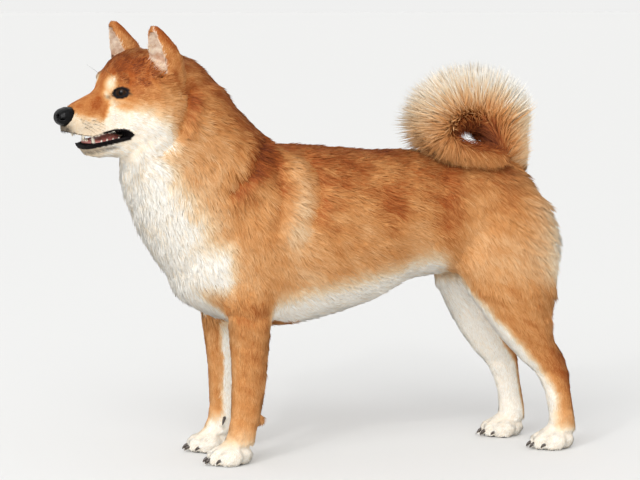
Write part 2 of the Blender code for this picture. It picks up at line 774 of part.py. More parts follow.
def ear_cup(side, frame):
    """What is scooped out of the front of an ear."""
    rings = ear_rings(side, hollow=True)[1:-1]
    first = rings[0]
    half_depth = first.rise / 2
    floor = first._replace(z=first.z - 0.004, rise=half_depth, drop=half_depth, half_width=0.006)
    return loft("ear_cup", [floor, *rings], 1, frame, 12)


def eye_ball(name, side, radius, frame, sides=16, rows=10):
    """A ball round the middle of an eye."""
    return ellipsoid(name, mirrored(EYE_CENTRE, side), [radius] * 3, None, frame, sides, rows)


def lid_ball(side, frame):
    """The lids before they are opened: a ball a little larger than the eye."""
    return eye_ball("lids", side, EYE_RADIUS + LID_THICKNESS, frame)


def eye_socket(side, frame):
    """The hollow the eye sits in."""
    return eye_ball("socket", side, EYE_RADIUS + NODE_GAP, frame)


def lid_opening(side, frame):
    """The opening between the lids."""
    placed = frame @ Matrix.Translation(mirrored(EYE_CENTRE, side)) @ facing(mirrored(EYE_FACES, side))
    return prism("lid_opening", eye_outline(side), placed, 0.0040, 0.0300)


def eye_form(side, frame):
    """The eyeball."""
    eye = eye_ball("eye_left" if side == LEFT else "eye_right", side, EYE_RADIUS, frame, 14, 8)
    eye.data.materials[0] = bpy.data.materials["eye"]
    return eye


def claw_forms():
    """A claw on each toe, curved down by two short pegs, with its root well inside the toe."""
    claws = []
    for x, y in paw_places().values():
        for middle, spread, length in toe_places(x, y):
            heading = Matrix.Rotation(math.radians(spread), 3, "Z") @ Vector((-1, 0, 0))
            root = middle + heading * (length - 0.0105) + Vector((0, 0, -0.0010))
            tip = middle + heading * (length + 0.0040) + Vector((0, 0, -0.0074))
            claws.append(cone("claw", root, tip, 0.0026, 0.0008, 6))
    return claws


def heel_pads():
    """The stopper pad behind each wrist and the dewclaw inside it."""
    pads = []
    for side, ahead in ((LEFT, 0.0), (RIGHT, FAR_FORELEG_AHEAD)):
        y = side * FORE_TRACK
        pad = (-0.0668 - ahead, y, 0.0560)
        pads.append(ellipsoid("stopper_pad", pad, (0.0060, 0.0055, 0.0065), sides=10, rows=6))
        root = (-0.088 - ahead, y - side * 0.0130, 0.0470)
        tip = (-0.092 - ahead, y - side * 0.0205, 0.0370)
        pads.append(cone("dewclaw", root, tip, 0.0034, 0.0010, 6))
    return pads


def tail_line(t):
    """The point, core radius and hair's reach at t along the tail, from 0 at its root to 1 at its tip."""
    last = len(TAIL_PATH) - 1
    k = min(int(t * last), last - 1)
    four = [TAIL_PATH[min(max(k + i, 0), last)] for i in (-1, 0, 1, 2)]
    values = [spline(t * last - k, *column) for column in zip(*four)]
    return Vector(values[:3]), values[3], values[4]


def tube(name, places, sides):
    """A closed round bar through points with radii."""
    bm = bmesh.new()
    loops = []
    side_way = Vector((0.0, 1.0, 0.0))
    for k, (point, radius) in enumerate(places):
        ahead = places[min(k + 1, len(places) - 1)][0] - places[max(k - 1, 0)][0]
        ahead.normalize()
        side_way = (side_way - ahead * side_way.dot(ahead)).normalized()
        other = ahead.cross(side_way)
        loop = []
        for j in range(sides):
            angle = 2 * math.pi * j / sides
            spoke = side_way * math.cos(angle) + other * math.sin(angle)
            loop.append(bm.verts.new(point + spoke * radius))
        loops.append(loop)
    for near, far in zip(loops, loops[1:]):
        for j in range(sides):
            bm.faces.new((near[j], near[(j + 1) % sides], far[(j + 1) % sides], far[j]))
    bm.faces.new(loops[0])
    bm.faces.new(loops[-1])
    return from_bmesh(name, bm)


def lock(root, heading, lie, broad_way, length, width):
    """A flat tapering lock, broad along broad_way, that leaves root along heading and bends to lie."""
    bm = bmesh.new()
    loops, middle, done = [], root.copy(), 0.0
    for share, taper in LOCK_SHAPE:
        direction = heading.lerp(lie, LOCK_BEND * share).normalized()
        middle = middle + direction * (length * (share - done))
        done = share
        broad = (broad_way - direction * broad_way.dot(direction)).normalized()
        wide, deep = broad * (width / 2 * taper), direction.cross(broad) * (LOCK_THICKNESS / 2 * taper)
        loops.append([bm.verts.new(middle + v) for v in (wide, deep, -wide, -deep)])
    for near, far in zip(loops, loops[1:]):
        for k in range(4):
            after = (k + 1) % 4
            bm.faces.new((near[k], near[after], far[after]))
            bm.faces.new((near[k], far[after], far[k]))
    tip = bm.verts.new(middle + direction * (length * LOCK_TIP))
    for k in range(4):
        bm.faces.new((loops[-1][k], loops[-1][(k + 1) % 4], tip))
    bm.faces.new(loops[0])
    return from_bmesh("lock", bm)


def tail_way(t):
    """The direction in which the tail runs at t."""
    return (tail_line(min(t + 0.02, 1.0))[0] - tail_line(max(t - 0.02, 0.0))[0]).normalized()


def tail_core(name, start, end):
    """A length of the tail's flesh and undercoat, a little fuller on its outer side."""
    places = []
    steps = max(3, round((end - start) * CORE_RINGS_PER_TAIL))
    for k in range(steps + 1):
        point, radius, reach = tail_line(start + (end - start) * k / steps)
        outward = point - TAIL_EYE
        outward.y = 0.0
        outer = radius + CORE_SHARE * (reach - radius)
        inner = min(outer, TAIL_INNER)
        places.append((point + outward.normalized() * (outer - inner) / 2, (outer + inner) / 2))
    return tube(name, places, 12)


def tail_locks(start, end, rows, rng):
    """Rows of locks along a length of the tail, in a fan out to the rim of the curl."""
    made = []
    for row in range(rows):
        for k, angle in enumerate(LOCK_ANGLES):
            t = start + (end - start) * (row + LOCK_STAGGER[k % 2]) / rows
            point, radius, reach = tail_line(t)
            ahead = tail_way(t)
            outward = point - TAIL_EYE
            outward.y = 0.0
            outward = (outward - ahead * outward.dot(ahead)).normalized()
            side = ahead.cross(outward)
            turn = math.radians(angle + rng.uniform(-5, 5))
            spoke = outward * math.cos(turn) + side * math.sin(turn)
            heading = outward * math.cos(FAN * turn) + side * math.sin(FAN * turn) + ahead * LOCK_SWEEP
            length = (reach - radius * LOCK_SINK) * rng.uniform(1.00, 1.12)
            width = LOCK_WIDTH * reach / LONGEST_REACH
            root = point + spoke * (radius * LOCK_SEAT)
            made.append(lock(root, heading.normalized(), ahead, ahead, length, width))
    return made


def tail_pieces(torso):
    """The root, the arch and the tip of the tail, each cut clear of the back and the pieces before it."""
    made = []
    rng = random.Random(LOCK_SEED)
    for name, (start, end, rows) in TAIL_LENGTHS.items():
        piece = tail_core(name, start, end)
        combine(piece, tail_locks(start, end, rows, rng), "UNION")
        for other in [torso, *made]:
            combine(piece, [grown(other, "clear_of", TAIL_GAP)], "DIFFERENCE")
        made.append(largest_only(piece))
    return made


def centre_outline():
    """Moves the dog so that the middle of its outline, on the floor, is the origin."""
    parts = [obj for obj in bpy.data.collections["shiba_inu"].objects]
    points = [v.co for obj in parts for v in obj.data.vertices]
    low, high = Vector(map(min, *points)), Vector(map(max, *points))
    shift = Matrix.Translation((-(low.x + high.x) / 2, -(low.y + high.y) / 2, -low.z))
    for obj in parts:
        obj.data.transform(shift)


def shade_round():
    """Smooth shading on every piece but where it has a real crease."""
    for obj in bpy.data.collections["shiba_inu"].objects:
        obj.data.shade_smooth()
        obj.data.set_sharp_from_angle(angle=CREASE_ANGLE)


def lip_bar(body, frame, side, line):
    """A thin rounded rim along a lip, laid on the face where a level line from the side meets it."""
    places = []
    for x, z in line:
        start = frame @ mirrored((x, HEAD_SPAN, z), side)
        aim = (frame @ Vector((x, 0.0, z)) - start).normalized()
        hit, where, _, _ = body.ray_cast(start, aim, distance=0.2)
        if hit:
            places.append((where + aim * 0.0006, LIP_RADIUS))
    return tube("lip", places, 5)


def lips(body, frame):
    """The four lip rims."""
    upper = [(x, z + LIP_SETBACK) for x, z in UPPER_LIP[:-1]]
    lower = [(x, z - LIP_SETBACK) for x, z in LOWER_LIP]
    return [lip_bar(body, frame, side, line) for side in (LEFT, RIGHT) for line in (upper, lower)]


def dress_head(body, frame):
    """Ears, lids, nose socket, mouth, teeth and lips on the melted skin."""
    nose = nose_form(frame)
    combine(body, [mouth_wedge(frame)], "DIFFERENCE")
    bars = lips(body, frame)
    combine(body, mouth_hollows(frame), "DIFFERENCE")
    lids = [lid_ball(side, frame) for side in (LEFT, RIGHT)]
    combine(body, [*lids, *bars, *teeth(frame), *claw_forms(), *heel_pads()], "UNION")
    combine(body, [eye_socket(side, frame) for side in (LEFT, RIGHT)], "DIFFERENCE")
    combine(body, [lid_opening(side, frame) for side in (LEFT, RIGHT)], "DIFFERENCE")
    combine(body, [grown(nose, "nose_socket", NODE_GAP), ground()], "DIFFERENCE")
    largest_only(body)


def leg_slabs():
    """The thin cuts across each leg, in groups whose members don't touch."""
    half = NODE_GAP / 2
    level, behind, inside = [], [], []
    for side in (LEFT, RIGHT):
        low, high = sorted((side * 0.0215, side * 0.13))
        back, inner = ELBOW_CUT_BACK, side * ELBOW_CUT_INNER
        level.append(box("elbow", (-0.17, low, ELBOW_CUT - half), (back + 0.0002, high, ELBOW_CUT + half)))
        behind.append(box("elbow_back", (back - half, low - 0.001, 0.150), (back + half, high, ELBOW_CUT)))
        inside.append(box("elbow_in", (-0.17, inner - half, 0.150), (back, inner + half, ELBOW_CUT)))
        for height in FORELEG_CUTS:
            level.append(box("fore_cut", (-0.17, low, height - half), (-0.02, high, height + half)))
        low, high = sorted((side * 0.012, side * 0.14))
        for height in HIND_LEG_CUTS:
            level.append(box("hind_cut", (0.18, low, height - half), (0.40, high, height + half)))
    level.append(box("thigh_cut", (0.150, -0.14, THIGH_CUT - half), (0.42, 0.14, THIGH_CUT + half)))
    return level, behind, inside


def jaw_slab(frame):
    """The cut from the corners of the mouth down to the throat."""
    down = Vector(JAW_CUT_DOWN).normalized()
    across = Vector((0, 1, 0))
    turn = Matrix((down, across, down.cross(across))).transposed().to_4x4()
    placed = frame @ Matrix.Translation(JAW_CUT_CORNER) @ turn
    return box("jaw_cut", (0.0, -0.07, -NODE_GAP / 2), (0.05, 0.07, NODE_GAP / 2), placed)


def body_pieces(body, frame):
    """The melted skin in its named nodes."""
    level, behind, inside = leg_slabs()
    neck, shoulder = slab("neck_cut", *NECK_CUT), slab("shoulder_cut", *SHOULDER_CUT)
    groups = [[*level, jaw_slab(frame)], behind, inside, [neck, shoulder]]
    names = {
        "torso": (0.08, 0.0, 0.29),
        "neck": (-0.14, 0.0, 0.39),
        "head": frame @ Vector((0.06, 0.0, -0.01)),
        "lower_jaw": frame @ Vector((0.10, 0.0, -0.065)),
    }
    for side, word in ((LEFT, "left"), (RIGHT, "right")):
        y = side * FORE_TRACK
        names[f"foreleg_{word}_forearm"] = (-0.08, y, 0.13)
        names[f"foreleg_{word}_pastern"] = (-0.09, y, 0.055)
        names[f"forepaw_{word}"] = (-0.11, y, 0.012)
        y = side * HIND_TRACK
        shift = 0.0 if side == LEFT else -FAR_HIND_LEG_AHEAD
        names[f"hindleg_{word}_thigh"] = (0.30 + 0.5 * shift, y, 0.16)
        names[f"hindleg_{word}_hock"] = (0.34 + shift, y, 0.065)
        names[f"hindpaw_{word}"] = (0.33 + shift, y, 0.012)
    return split(body, groups, names)


def make_materials():
    """One Principled material for each finish."""
    for name, colour in COLOURS.items():
        material = bpy.data.materials.new(name)
        material.use_nodes = True
        shader = material.node_tree.nodes["Principled BSDF"]
        shader.inputs["Base Color"].default_value = colour
        shader.inputs["Roughness"].default_value = ROUGHNESS[name]
        material.diffuse_color = colour


def start_clean():
    """An empty scene with the dog's collection."""
    remove(bpy.data.objects)
    dog = bpy.data.collections.new("shiba_inu")
    bpy.context.scene.collection.children.link(dog)


def main():
    """Builds the dog."""
    start_clean()
    make_materials()
    frame = head_frame()
    body = whole_body(frame)
    dress_head(body, frame)
    for side in (LEFT, RIGHT):
        ear_form(side, frame, body)
    pieces = body_pieces(body, frame)
    tongue = tongue_form(frame)
    for name in ("lower_jaw", "head"):
        combine(tongue, [grown(pieces[name], "clear_of", NODE_GAP)], "DIFFERENCE")
    largest_only(tongue)
    for side in (LEFT, RIGHT):
        eye_form(side, frame)
    tail_pieces(pieces["torso"])
    centre_outline()
    shade_round()


main()
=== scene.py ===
"""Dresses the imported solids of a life-size shiba inu: one skin, its coat, eyes, nose, mouth and claws."""

import math

import bmesh
import bpy
import numpy as np
from mathutils import Matrix, Vector
from mathutils.bvhtree import BVHTree


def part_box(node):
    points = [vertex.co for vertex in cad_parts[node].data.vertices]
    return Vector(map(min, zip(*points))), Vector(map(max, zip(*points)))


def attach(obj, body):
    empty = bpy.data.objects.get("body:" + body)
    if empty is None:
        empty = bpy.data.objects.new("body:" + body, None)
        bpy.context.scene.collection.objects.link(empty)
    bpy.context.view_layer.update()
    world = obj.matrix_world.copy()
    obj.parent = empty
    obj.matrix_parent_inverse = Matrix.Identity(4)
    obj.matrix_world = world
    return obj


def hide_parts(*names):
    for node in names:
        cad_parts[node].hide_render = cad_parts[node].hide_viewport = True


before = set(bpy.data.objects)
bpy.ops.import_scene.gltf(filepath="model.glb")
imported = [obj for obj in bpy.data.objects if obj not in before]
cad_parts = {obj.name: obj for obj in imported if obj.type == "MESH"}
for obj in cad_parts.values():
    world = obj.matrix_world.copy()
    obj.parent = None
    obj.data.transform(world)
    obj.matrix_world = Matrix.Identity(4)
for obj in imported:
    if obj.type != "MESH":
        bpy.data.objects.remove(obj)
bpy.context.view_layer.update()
rng = np.random.default_rng(11)

LEFT, RIGHT = -1, 1
# Rows compared with a whole table at once, a distance past any real one, and the gap
# between points that are merged.
CHUNK = 20000
FAR_OFF = 9.0
MERGE = 0.00001

# The head's own frame: +X ahead, +Y to the dog's left, +Z up, with its origin inside the skull.
HEAD_PIVOT = Vector((-0.170, 0.0, 0.470))
HEAD_TURN = math.radians(14)
HEAD_ROLL = math.radians(-3)
# The far ear stands further ahead than the near one and is turned inwards about an upright axis.
FAR_EAR_AHEAD = 0.0065
FAR_EAR_TURN = math.radians(18)
EAR_AXIS = (0.0288, 0.0500)
# Each eye: its centre, gaze, half length and half height between the lids, the slant of the lids, the edges
# of pupil and iris in degrees off the gaze, and the reach and height of the cornea's bulge.
EYE_RADIUS = 0.0105
EYE_CENTRE = (0.0797, 0.0264, 0.0060)
EYE_FACES = (0.66, 0.74, 0.05)
EYE_OPENING = (0.0098, 0.0064)
EYE_SLANT = math.radians(10)
PUPIL_TO = 15
IRIS_TO = 35
CORNEA_TO = 0.62
CORNEA_BULGE = 0.035
# The edges of the lips seen from the side, in the head's own frame, from the mouth's corner to its front.
UPPER_LIP = ((0.0735, -0.0455), (0.0770, -0.0420), (0.0826, -0.0403), (0.0926, -0.0412), (0.1027, -0.0441),
             (0.1109, -0.0472), (0.1180, -0.0488), (0.1270, -0.0481), (0.1380, -0.0458), (0.1440, -0.0440))
LOWER_LIP = ((0.0740, -0.0475), (0.0804, -0.0497), (0.0918, -0.0527), (0.1010, -0.0549), (0.1096, -0.0568),
             (0.1145, -0.0580), (0.1185, -0.0588), (0.1225, -0.0590))

# The middle of the tail's curl, and the tail from root to tip: x, y, z, the radius of flesh and undercoat,
# and the reach of the hair, all in the dog's frame.
TAIL_EYE = Vector((0.236, -0.028, 0.414))
TAIL_PATH = (
    (0.292, 0.000, 0.326, 0.0195, 0.021),
    (0.289, 0.002, 0.362, 0.0190, 0.025),
    (0.283, 0.005, 0.398, 0.0190, 0.030),
    (0.270, 0.007, 0.428, 0.0190, 0.045),
    (0.247, 0.004, 0.446, 0.0190, 0.053),
    (0.219, -0.006, 0.445, 0.0185, 0.057),
    (0.195, -0.020, 0.430, 0.0175, 0.056),
    (0.190, -0.034, 0.410, 0.0160, 0.038),
    (0.204, -0.043, 0.398, 0.0140, 0.028),
    (0.231, -0.048, 0.394, 0.0115, 0.024),
    (0.258, -0.050, 0.392, 0.0070, 0.020),
)

# How far a flesh solid is swollen to meet its neighbours, and the front of the rounded lower jaw.
SEAM = 0.0004
JAW_FRONT = 0.1262
# The skin's share of the tail's flesh and undercoat, and the steps its middle line is worked out in.
TAIL_CORE = 0.72
TAIL_SAMPLES = 160

# The skin's fineness, and how many tufts the coat and the tail's plume have.
SKIN_VOXEL = 0.0016
SKIN_TRIANGLES = 170000
COAT_TUFTS = 320000
TAIL_TUFTS = 36000
# The size of a tuft's patch on the flat map of the skin.
BAKE_PATCH = 0.003
# How far a tuft's sides and tip turn its shading, how deep it is rooted, and the share of it below its bend.
SIDE_SHADE = 0.40
TIP_SHADE = 0.25
ROOT_DEPTH = 0.0006
BEND_AT = 0.42
LOWEST_HAIR = 0.0004
TAIL_TUFT_WIDTH = 0.0011

# The photograph's viewpoint in the dog's frame, and the studio's light.
CAMERA_PLACE = (-0.8508, -3.0619, 0.5858)
CAMERA_TARGET = (0.0272, 0.0, 0.2791)
CAMERA_LENS = 138.46
KEY_LIGHT_WAY = (0.42, 0.77, -0.48)
KEY_LIGHT_SPREAD = math.radians(55)
LAMP_PLACE = (-1.9, -2.2, 1.9)
LAMP_TARGET = (-0.25, 0.0, 0.45)

# How the coat lies on the body, mirrored for the right side: place, heading of the tips, length and width of
# a tuft in millimetres, and its lean off the skin in degrees.
BODY_LIE = (
    ((0.000, 0.000, 0.405), (1.00, 0.00, -0.15), 22, 1.24, 13),
    ((0.100, 0.000, 0.397), (1.00, 0.00, -0.10), 21, 1.24, 11),
    ((0.200, 0.000, 0.392), (1.00, 0.00, -0.10), 21, 1.24, 12),
    ((0.290, 0.000, 0.370), (0.60, 0.00, -0.80), 22, 1.24, 14),
    ((0.335, -0.030, 0.300), (0.50, 0.00, -1.00), 32, 1.36, 20),
    ((0.335, -0.040, 0.235), (0.45, 0.00, -1.00), 30, 1.36, 20),
    ((0.326, -0.050, 0.190), (0.40, 0.00, -1.00), 22, 1.24, 16),
    ((-0.090, -0.085, 0.330), (0.45, 0.00, -0.90), 21, 1.24, 12),
    ((-0.090, -0.070, 0.250), (0.40, 0.00, -0.95), 18, 1.18, 11),
    ((-0.040, -0.085, 0.370), (0.75, 0.00, -0.65), 22, 1.24, 12),
    ((0.020, -0.090, 0.330), (0.85, 0.00, -0.50), 21, 1.24, 11),
    ((0.020, -0.080, 0.230), (0.80, 0.00, -0.60), 21, 1.24, 12),
    ((0.090, -0.085, 0.350), (0.95, 0.00, -0.30), 21, 1.24, 11),
    ((0.130, -0.080, 0.310), (0.85, 0.00, -0.45), 21, 1.24, 11),
    ((0.100, -0.055, 0.215), (0.85, 0.15, -0.40), 21, 1.18, 14),
    ((0.030, -0.015, 0.175), (1.00, 0.00, -0.15), 20, 1.18, 14),
    ((-0.060, -0.015, 0.172), (1.00, 0.00, -0.20), 20, 1.18, 14),
    ((0.150, -0.015, 0.222), (0.95, 0.00, -0.15), 20, 1.18, 15),
    ((0.230, -0.075, 0.340), (0.55, 0.00, -0.85), 20, 1.18, 11),
    ((0.200, -0.080, 0.280), (0.65, 0.00, -0.80), 20, 1.18, 11),
    ((0.250, -0.080, 0.240), (0.50, 0.00, -0.90), 16, 1.12, 10),
    ((0.315, -0.060, 0.260), (0.60, 0.00, -0.80), 24, 1.24, 15),
    ((0.240, -0.020, 0.200), (0.60, 0.10, -0.80), 14, 0.99, 10),
    ((-0.125, 0.000, 0.450), (0.78, 0.00, -0.62), 27, 1.36, 15),
    ((-0.165, 0.000, 0.495), (0.74, 0.00, -0.66), 22, 1.24, 14),
    ((-0.050, 0.000, 0.420), (0.95, 0.00, -0.35), 26, 1.36, 14),
    ((-0.170, -0.065, 0.430), (0.35, -0.05, -0.95), 24, 1.3, 15),
    ((-0.120, -0.085, 0.370), (0.40, 0.00, -0.92), 24, 1.3, 14),
    ((-0.165, -0.070, 0.360), (0.25, 0.00, -0.97), 24, 1.3, 15),
    ((-0.235, -0.020, 0.375), (0.15, 0.00, -1.00), 22, 1.24, 16),
    ((-0.215, -0.020, 0.400), (0.45, 0.00, -0.90), 20, 1.18, 15),
    ((-0.205, 0.000, 0.320), (0.10, 0.00, -1.00), 26, 1.3, 16),
    ((-0.178, -0.015, 0.255), (0.25, 0.00, -1.00), 24, 1.24, 15),
    ((-0.135, -0.020, 0.205), (0.80, 0.00, -0.60), 21, 1.18, 14),
    ((-0.080, -0.075, 0.200), (0.20, 0.00, -1.00), 14, 0.99, 10),
    ((-0.080, -0.070, 0.150), (0.05, 0.00, -1.00), 10.8, 0.81, 10),
    ((-0.106, -0.050, 0.130), (0.00, 0.00, -1.00), 8.1, 0.74, 8),
    ((-0.055, -0.050, 0.150), (0.35, 0.00, -0.95), 14, 0.93, 16),
    ((-0.060, -0.050, 0.110), (0.30, 0.00, -0.95), 13.5, 0.87, 15),
    ((-0.085, -0.030, 0.130), (0.05, 0.00, -1.00), 9, 0.74, 9),
    ((-0.087, -0.065, 0.080), (0.00, 0.00, -1.00), 8.1, 0.74, 8),
    ((-0.090, -0.050, 0.045), (-0.10, 0.00, -1.00), 7.2, 0.7, 8),
    ((-0.120, -0.050, 0.027), (-1.00, 0.00, -0.45), 5.4, 0.7, 9),
    ((-0.145, -0.050, 0.012), (-0.60, 0.00, -0.90), 4.5, 0.7, 10),
    ((-0.110, -0.075, 0.012), (-0.50, 0.00, -0.90), 4.5, 0.7, 10),
    ((0.275, -0.078, 0.185), (0.50, 0.00, -0.87), 12, 0.93, 10),
    ((0.225, -0.060, 0.205), (0.40, 0.00, -0.92), 12, 0.93, 10),
    ((0.305, -0.065, 0.140), (0.50, 0.00, -0.87), 10.8, 0.81, 9),
    ((0.330, -0.055, 0.150), (0.30, 0.00, -0.95), 14, 0.93, 15),
    ((0.280, -0.045, 0.150), (0.50, 0.00, -0.87), 9, 0.74, 9),
    ((0.352, -0.055, 0.105), (0.10, 0.00, -1.00), 9, 0.74, 10),
    ((0.320, -0.060, 0.095), (0.30, 0.00, -0.95), 7.2, 0.7, 8),
    ((0.338, -0.055, 0.055), (-0.05, 0.00, -1.00), 7.2, 0.7, 8),
    ((0.318, -0.055, 0.027), (-1.00, 0.00, -0.45), 5.4, 0.7, 9),
    ((0.293, -0.055, 0.012), (-0.60, 0.00, -0.90), 4.5, 0.7, 10),
    ((0.325, -0.080, 0.012), (-0.50, 0.00, -0.90), 4.5, 0.7, 10),
)

# The same for the head, in its own frame.
HEAD_LIE = (
    ((0.140, 0.000, -0.012), (-1.00, 0.00, 0.20), 2.7, 0.56, 8),
    ((0.125, 0.000, -0.003), (-1.00, 0.00, 0.10), 3.6, 0.56, 8),
    ((0.132, 0.020, -0.030), (-1.00, 0.20, -0.30), 4, 0.56, 9),
    ((0.110, 0.026, -0.028), (-1.00, 0.25, -0.20), 5, 0.64, 9),
    ((0.122, 0.022, -0.043), (-1.00, 0.10, -0.55), 4, 0.56, 10),
    ((0.095, 0.029, -0.036), (-1.00, 0.30, -0.30), 5.4, 0.64, 9),
    ((0.120, 0.008, -0.070), (-1.00, 0.10, -0.20), 6.3, 0.72, 13),
    ((0.100, 0.022, -0.064), (-1.00, 0.20, -0.30), 7.2, 0.72, 11),
    ((0.075, 0.030, -0.070), (-1.00, 0.25, -0.40), 11.7, 0.88, 13),
    ((0.070, 0.000, -0.079), (-1.00, 0.00, -0.40), 12.6, 0.96, 13),
    ((0.104, 0.000, 0.008), (-1.00, 0.00, 0.55), 4.5, 0.64, 8),
    ((0.100, 0.018, -0.008), (-1.00, 0.35, 0.10), 4.5, 0.64, 8),
    ((0.093, 0.000, 0.036), (-0.75, 0.00, 0.65), 6.3, 0.72, 9),
    ((0.060, 0.000, 0.056), (-1.00, 0.00, 0.12), 9.9, 0.88, 10),
    ((0.020, 0.000, 0.057), (-1.00, 0.00, -0.05), 12, 1.12, 13),
    ((0.086, 0.026, 0.020), (-0.75, 0.35, 0.45), 5, 0.64, 9),
    ((0.070, 0.040, 0.020), (-1.00, 0.25, 0.15), 6.3, 0.72, 9),
    ((0.088, 0.032, -0.010), (-1.00, 0.45, -0.10), 5, 0.64, 8),
    ((0.065, 0.046, -0.010), (-1.00, 0.35, -0.08), 7.2, 0.72, 10),
    ((0.045, 0.062, -0.020), (-1.00, 0.35, -0.20), 12.6, 0.96, 13),
    ((0.040, 0.060, 0.020), (-1.00, 0.20, 0.10), 9.9, 0.88, 10),
    ((0.060, 0.045, -0.045), (-1.00, 0.35, -0.45), 10.8, 0.88, 12),
    ((0.020, 0.068, -0.045), (-1.00, 0.30, -0.55), 16, 1.09, 16),
    ((-0.010, 0.065, -0.020), (-1.00, 0.25, -0.45), 20, 1.22, 17),
    ((0.030, 0.040, -0.078), (-1.00, 0.15, -0.50), 16, 1.09, 16),
    ((0.046, 0.045, 0.048), (-0.60, 0.15, 0.80), 7.2, 0.72, 10),
    ((0.010, 0.050, 0.060), (-0.35, 0.00, 1.00), 5.4, 0.64, 9),
    ((0.030, 0.072, 0.050), (-0.30, 0.10, 1.00), 5.4, 0.64, 9),
    ((0.030, 0.052, 0.075), (0.10, 0.00, 1.00), 4.5, 0.56, 8),
    ((0.052, 0.055, 0.088), (0.20, 0.00, 1.00), 3.6, 0.55, 8),
    ((-0.010, 0.050, 0.045), (-1.00, 0.05, -0.30), 15, 1.09, 14),
    ((-0.040, 0.000, 0.035), (-1.00, 0.00, -0.55), 21, 1.29, 16),
)

# The coat's colours by tone, from dark red-brown to cream.
COAT_TONES = (
    (0.00, "#662C10"),
    (0.18, "#A25422"),
    (0.36, "#CB8B50"),
    (0.50, "#DAA26C"),
    (0.62, "#E2B586"),
    (0.75, "#EAC9A0"),
    (0.87, "#F3E0C4"),
    (1.00, "#FBF7EE"),
)

# Folds and hollows of the coat, seen from the side: the line of each, its half width and how far it stands
# out or lies back, both in millimetres. The trunk's tone is lifted on the folds as painted light and lowered
# in the hollows as painted shade.
FOLDS = (
    ("shoulder crease",
     ((-0.064, 0.411), (-0.071, 0.396), (-0.080, 0.380), (-0.096, 0.365), (-0.110, 0.353)), 10, -4.5),
    ("shoulder fold",
     ((-0.040, 0.402), (-0.029, 0.383), (-0.021, 0.364), (-0.023, 0.339), (-0.033, 0.300)), 13, 3.0),
    ("ahead of the fold", ((-0.054, 0.392), (-0.048, 0.365), (-0.048, 0.339), (-0.054, 0.308)), 9, -2.5),
    ("behind the fold", ((-0.010, 0.399), (0.002, 0.376), (0.004, 0.351), (-0.004, 0.320)), 11, -3.0),
    ("cheek crease", ((-0.160, 0.475), (-0.168, 0.445), (-0.180, 0.422), (-0.197, 0.402)), 8, -4.0),
    ("flank hollow", ((0.085, 0.338), (0.100, 0.315)), 16, -2.5),
    ("haunch crease", ((0.180, 0.385), (0.170, 0.350), (0.174, 0.310)), 16, -2.5),
    ("elbow crease", ((-0.108, 0.196), (-0.080, 0.188), (-0.055, 0.195)), 7, -1.5),
)

# Forms of the head under its short fur, in its own frame and mirrored: middle, size of the soft ball, and
# how far they stand out or lie back in millimetres.
HEAD_FORMS = (
    ("brow", (0.0830, 0.0290, 0.0205), (0.014, 0.011, 0.0050), 1.4),
    ("hollow before the eye", (0.0960, 0.0190, 0.0030), (0.007, 0.009, 0.0080), -1.6),
    ("hollow over the eye", (0.0900, 0.0300, 0.0155), (0.008, 0.010, 0.0030), -0.6),
    ("cheekbone", (0.0700, 0.0450, -0.0080), (0.015, 0.020, 0.0060), 1.0),
    ("furrow under the eye", (0.0880, 0.0330, -0.0085), (0.012, 0.014, 0.0025), -0.7),
    ("whisker pad", (0.1270, 0.0220, -0.0360), (0.014, 0.012, 0.0090), 1.3),
    ("side of the bridge", (0.1150, 0.0230, -0.0140), (0.018, 0.010, 0.0060), -0.8),
    ("fold behind the mouth", (0.0660, 0.0360, -0.0480), (0.006, 0.014, 0.0110), -1.6),
    ("cheek ruff", (0.0330, 0.0660, -0.0330), (0.020, 0.030, 0.0200), 2.5),
    ("furrow of the forehead", (0.0800, 0.0000, 0.0450), (0.030, 0.006, 0.0200), -1.2),
    ("temple", (0.0620, 0.0450, 0.0300), (0.016, 0.018, 0.0120), -1.0),
    ("chin", (0.1150, 0.0000, -0.0730), (0.010, 0.012, 0.0060), 1.0),
)

# Paler and darker patches of the trunk's coat: middle, size of the soft ball, and what they add to the tone.
TRUNK_PATCHES = (
    ("breech", (0.345, 0.0, 0.285), (0.046, 0.2, 0.090), 0.62),
    ("thigh", (0.255, 0.0, 0.270), (0.050, 0.2, 0.040), 0.10),
    ("shoulder", (-0.095, 0.0, 0.315), (0.040, 0.2, 0.050), 0.07),
    ("last ribs", (0.094, 0.0, 0.332), (0.018, 0.2, 0.022), -0.12),
)

# The upper edge of the face's cream seen from the side, in the head's own frame, from the cheek to the nose.
CREAM_EDGE = (
    (0.0050, -0.0660), (0.0213, -0.0560), (0.0300, -0.0400), (0.0413, -0.0220), (0.0581, -0.0110),
    (0.0747, -0.0085), (0.0803, -0.0085), (0.0900, -0.0060), (0.0955, 0.0000), (0.0985, -0.0060),
    (0.1010, -0.0180), (0.1050, -0.0262), (0.1236, -0.0250), (0.1454, -0.0183),
)

# Creases round the foot of each ear, seen from the side in the head's own frame, darkened as painted shade.
EAR_FOOT = (
    ((0.0336, 0.0290), (0.0300, 0.0200), (0.0240, 0.0110), (0.0150, 0.0080)),
    ((0.0060, 0.0480), (0.0020, 0.0320), (0.0040, 0.0170), (0.0150, 0.0080)),
)


def head_frame():
    """From the head's own frame to the dog's."""
    forward = Vector((-math.cos(HEAD_TURN), -math.sin(HEAD_TURN), 0.0))
    up = Vector((0.0, 0.0, 1.0))
    left = up.cross(forward)
    basis = Matrix((forward, left, up)).transposed().to_4x4()
    return Matrix.Translation(HEAD_PIVOT) @ basis @ Matrix.Rotation(HEAD_ROLL, 4, "X")


def dog_shift():
    """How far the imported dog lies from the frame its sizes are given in, read from its left eye."""
    low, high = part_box("eye_left")
    return (Vector(low) + Vector(high)) / 2 - head_frame() @ Vector(EYE_CENTRE)


SHIFT = dog_shift()
DOG = Matrix.Translation(SHIFT)
HEAD = DOG @ head_frame()


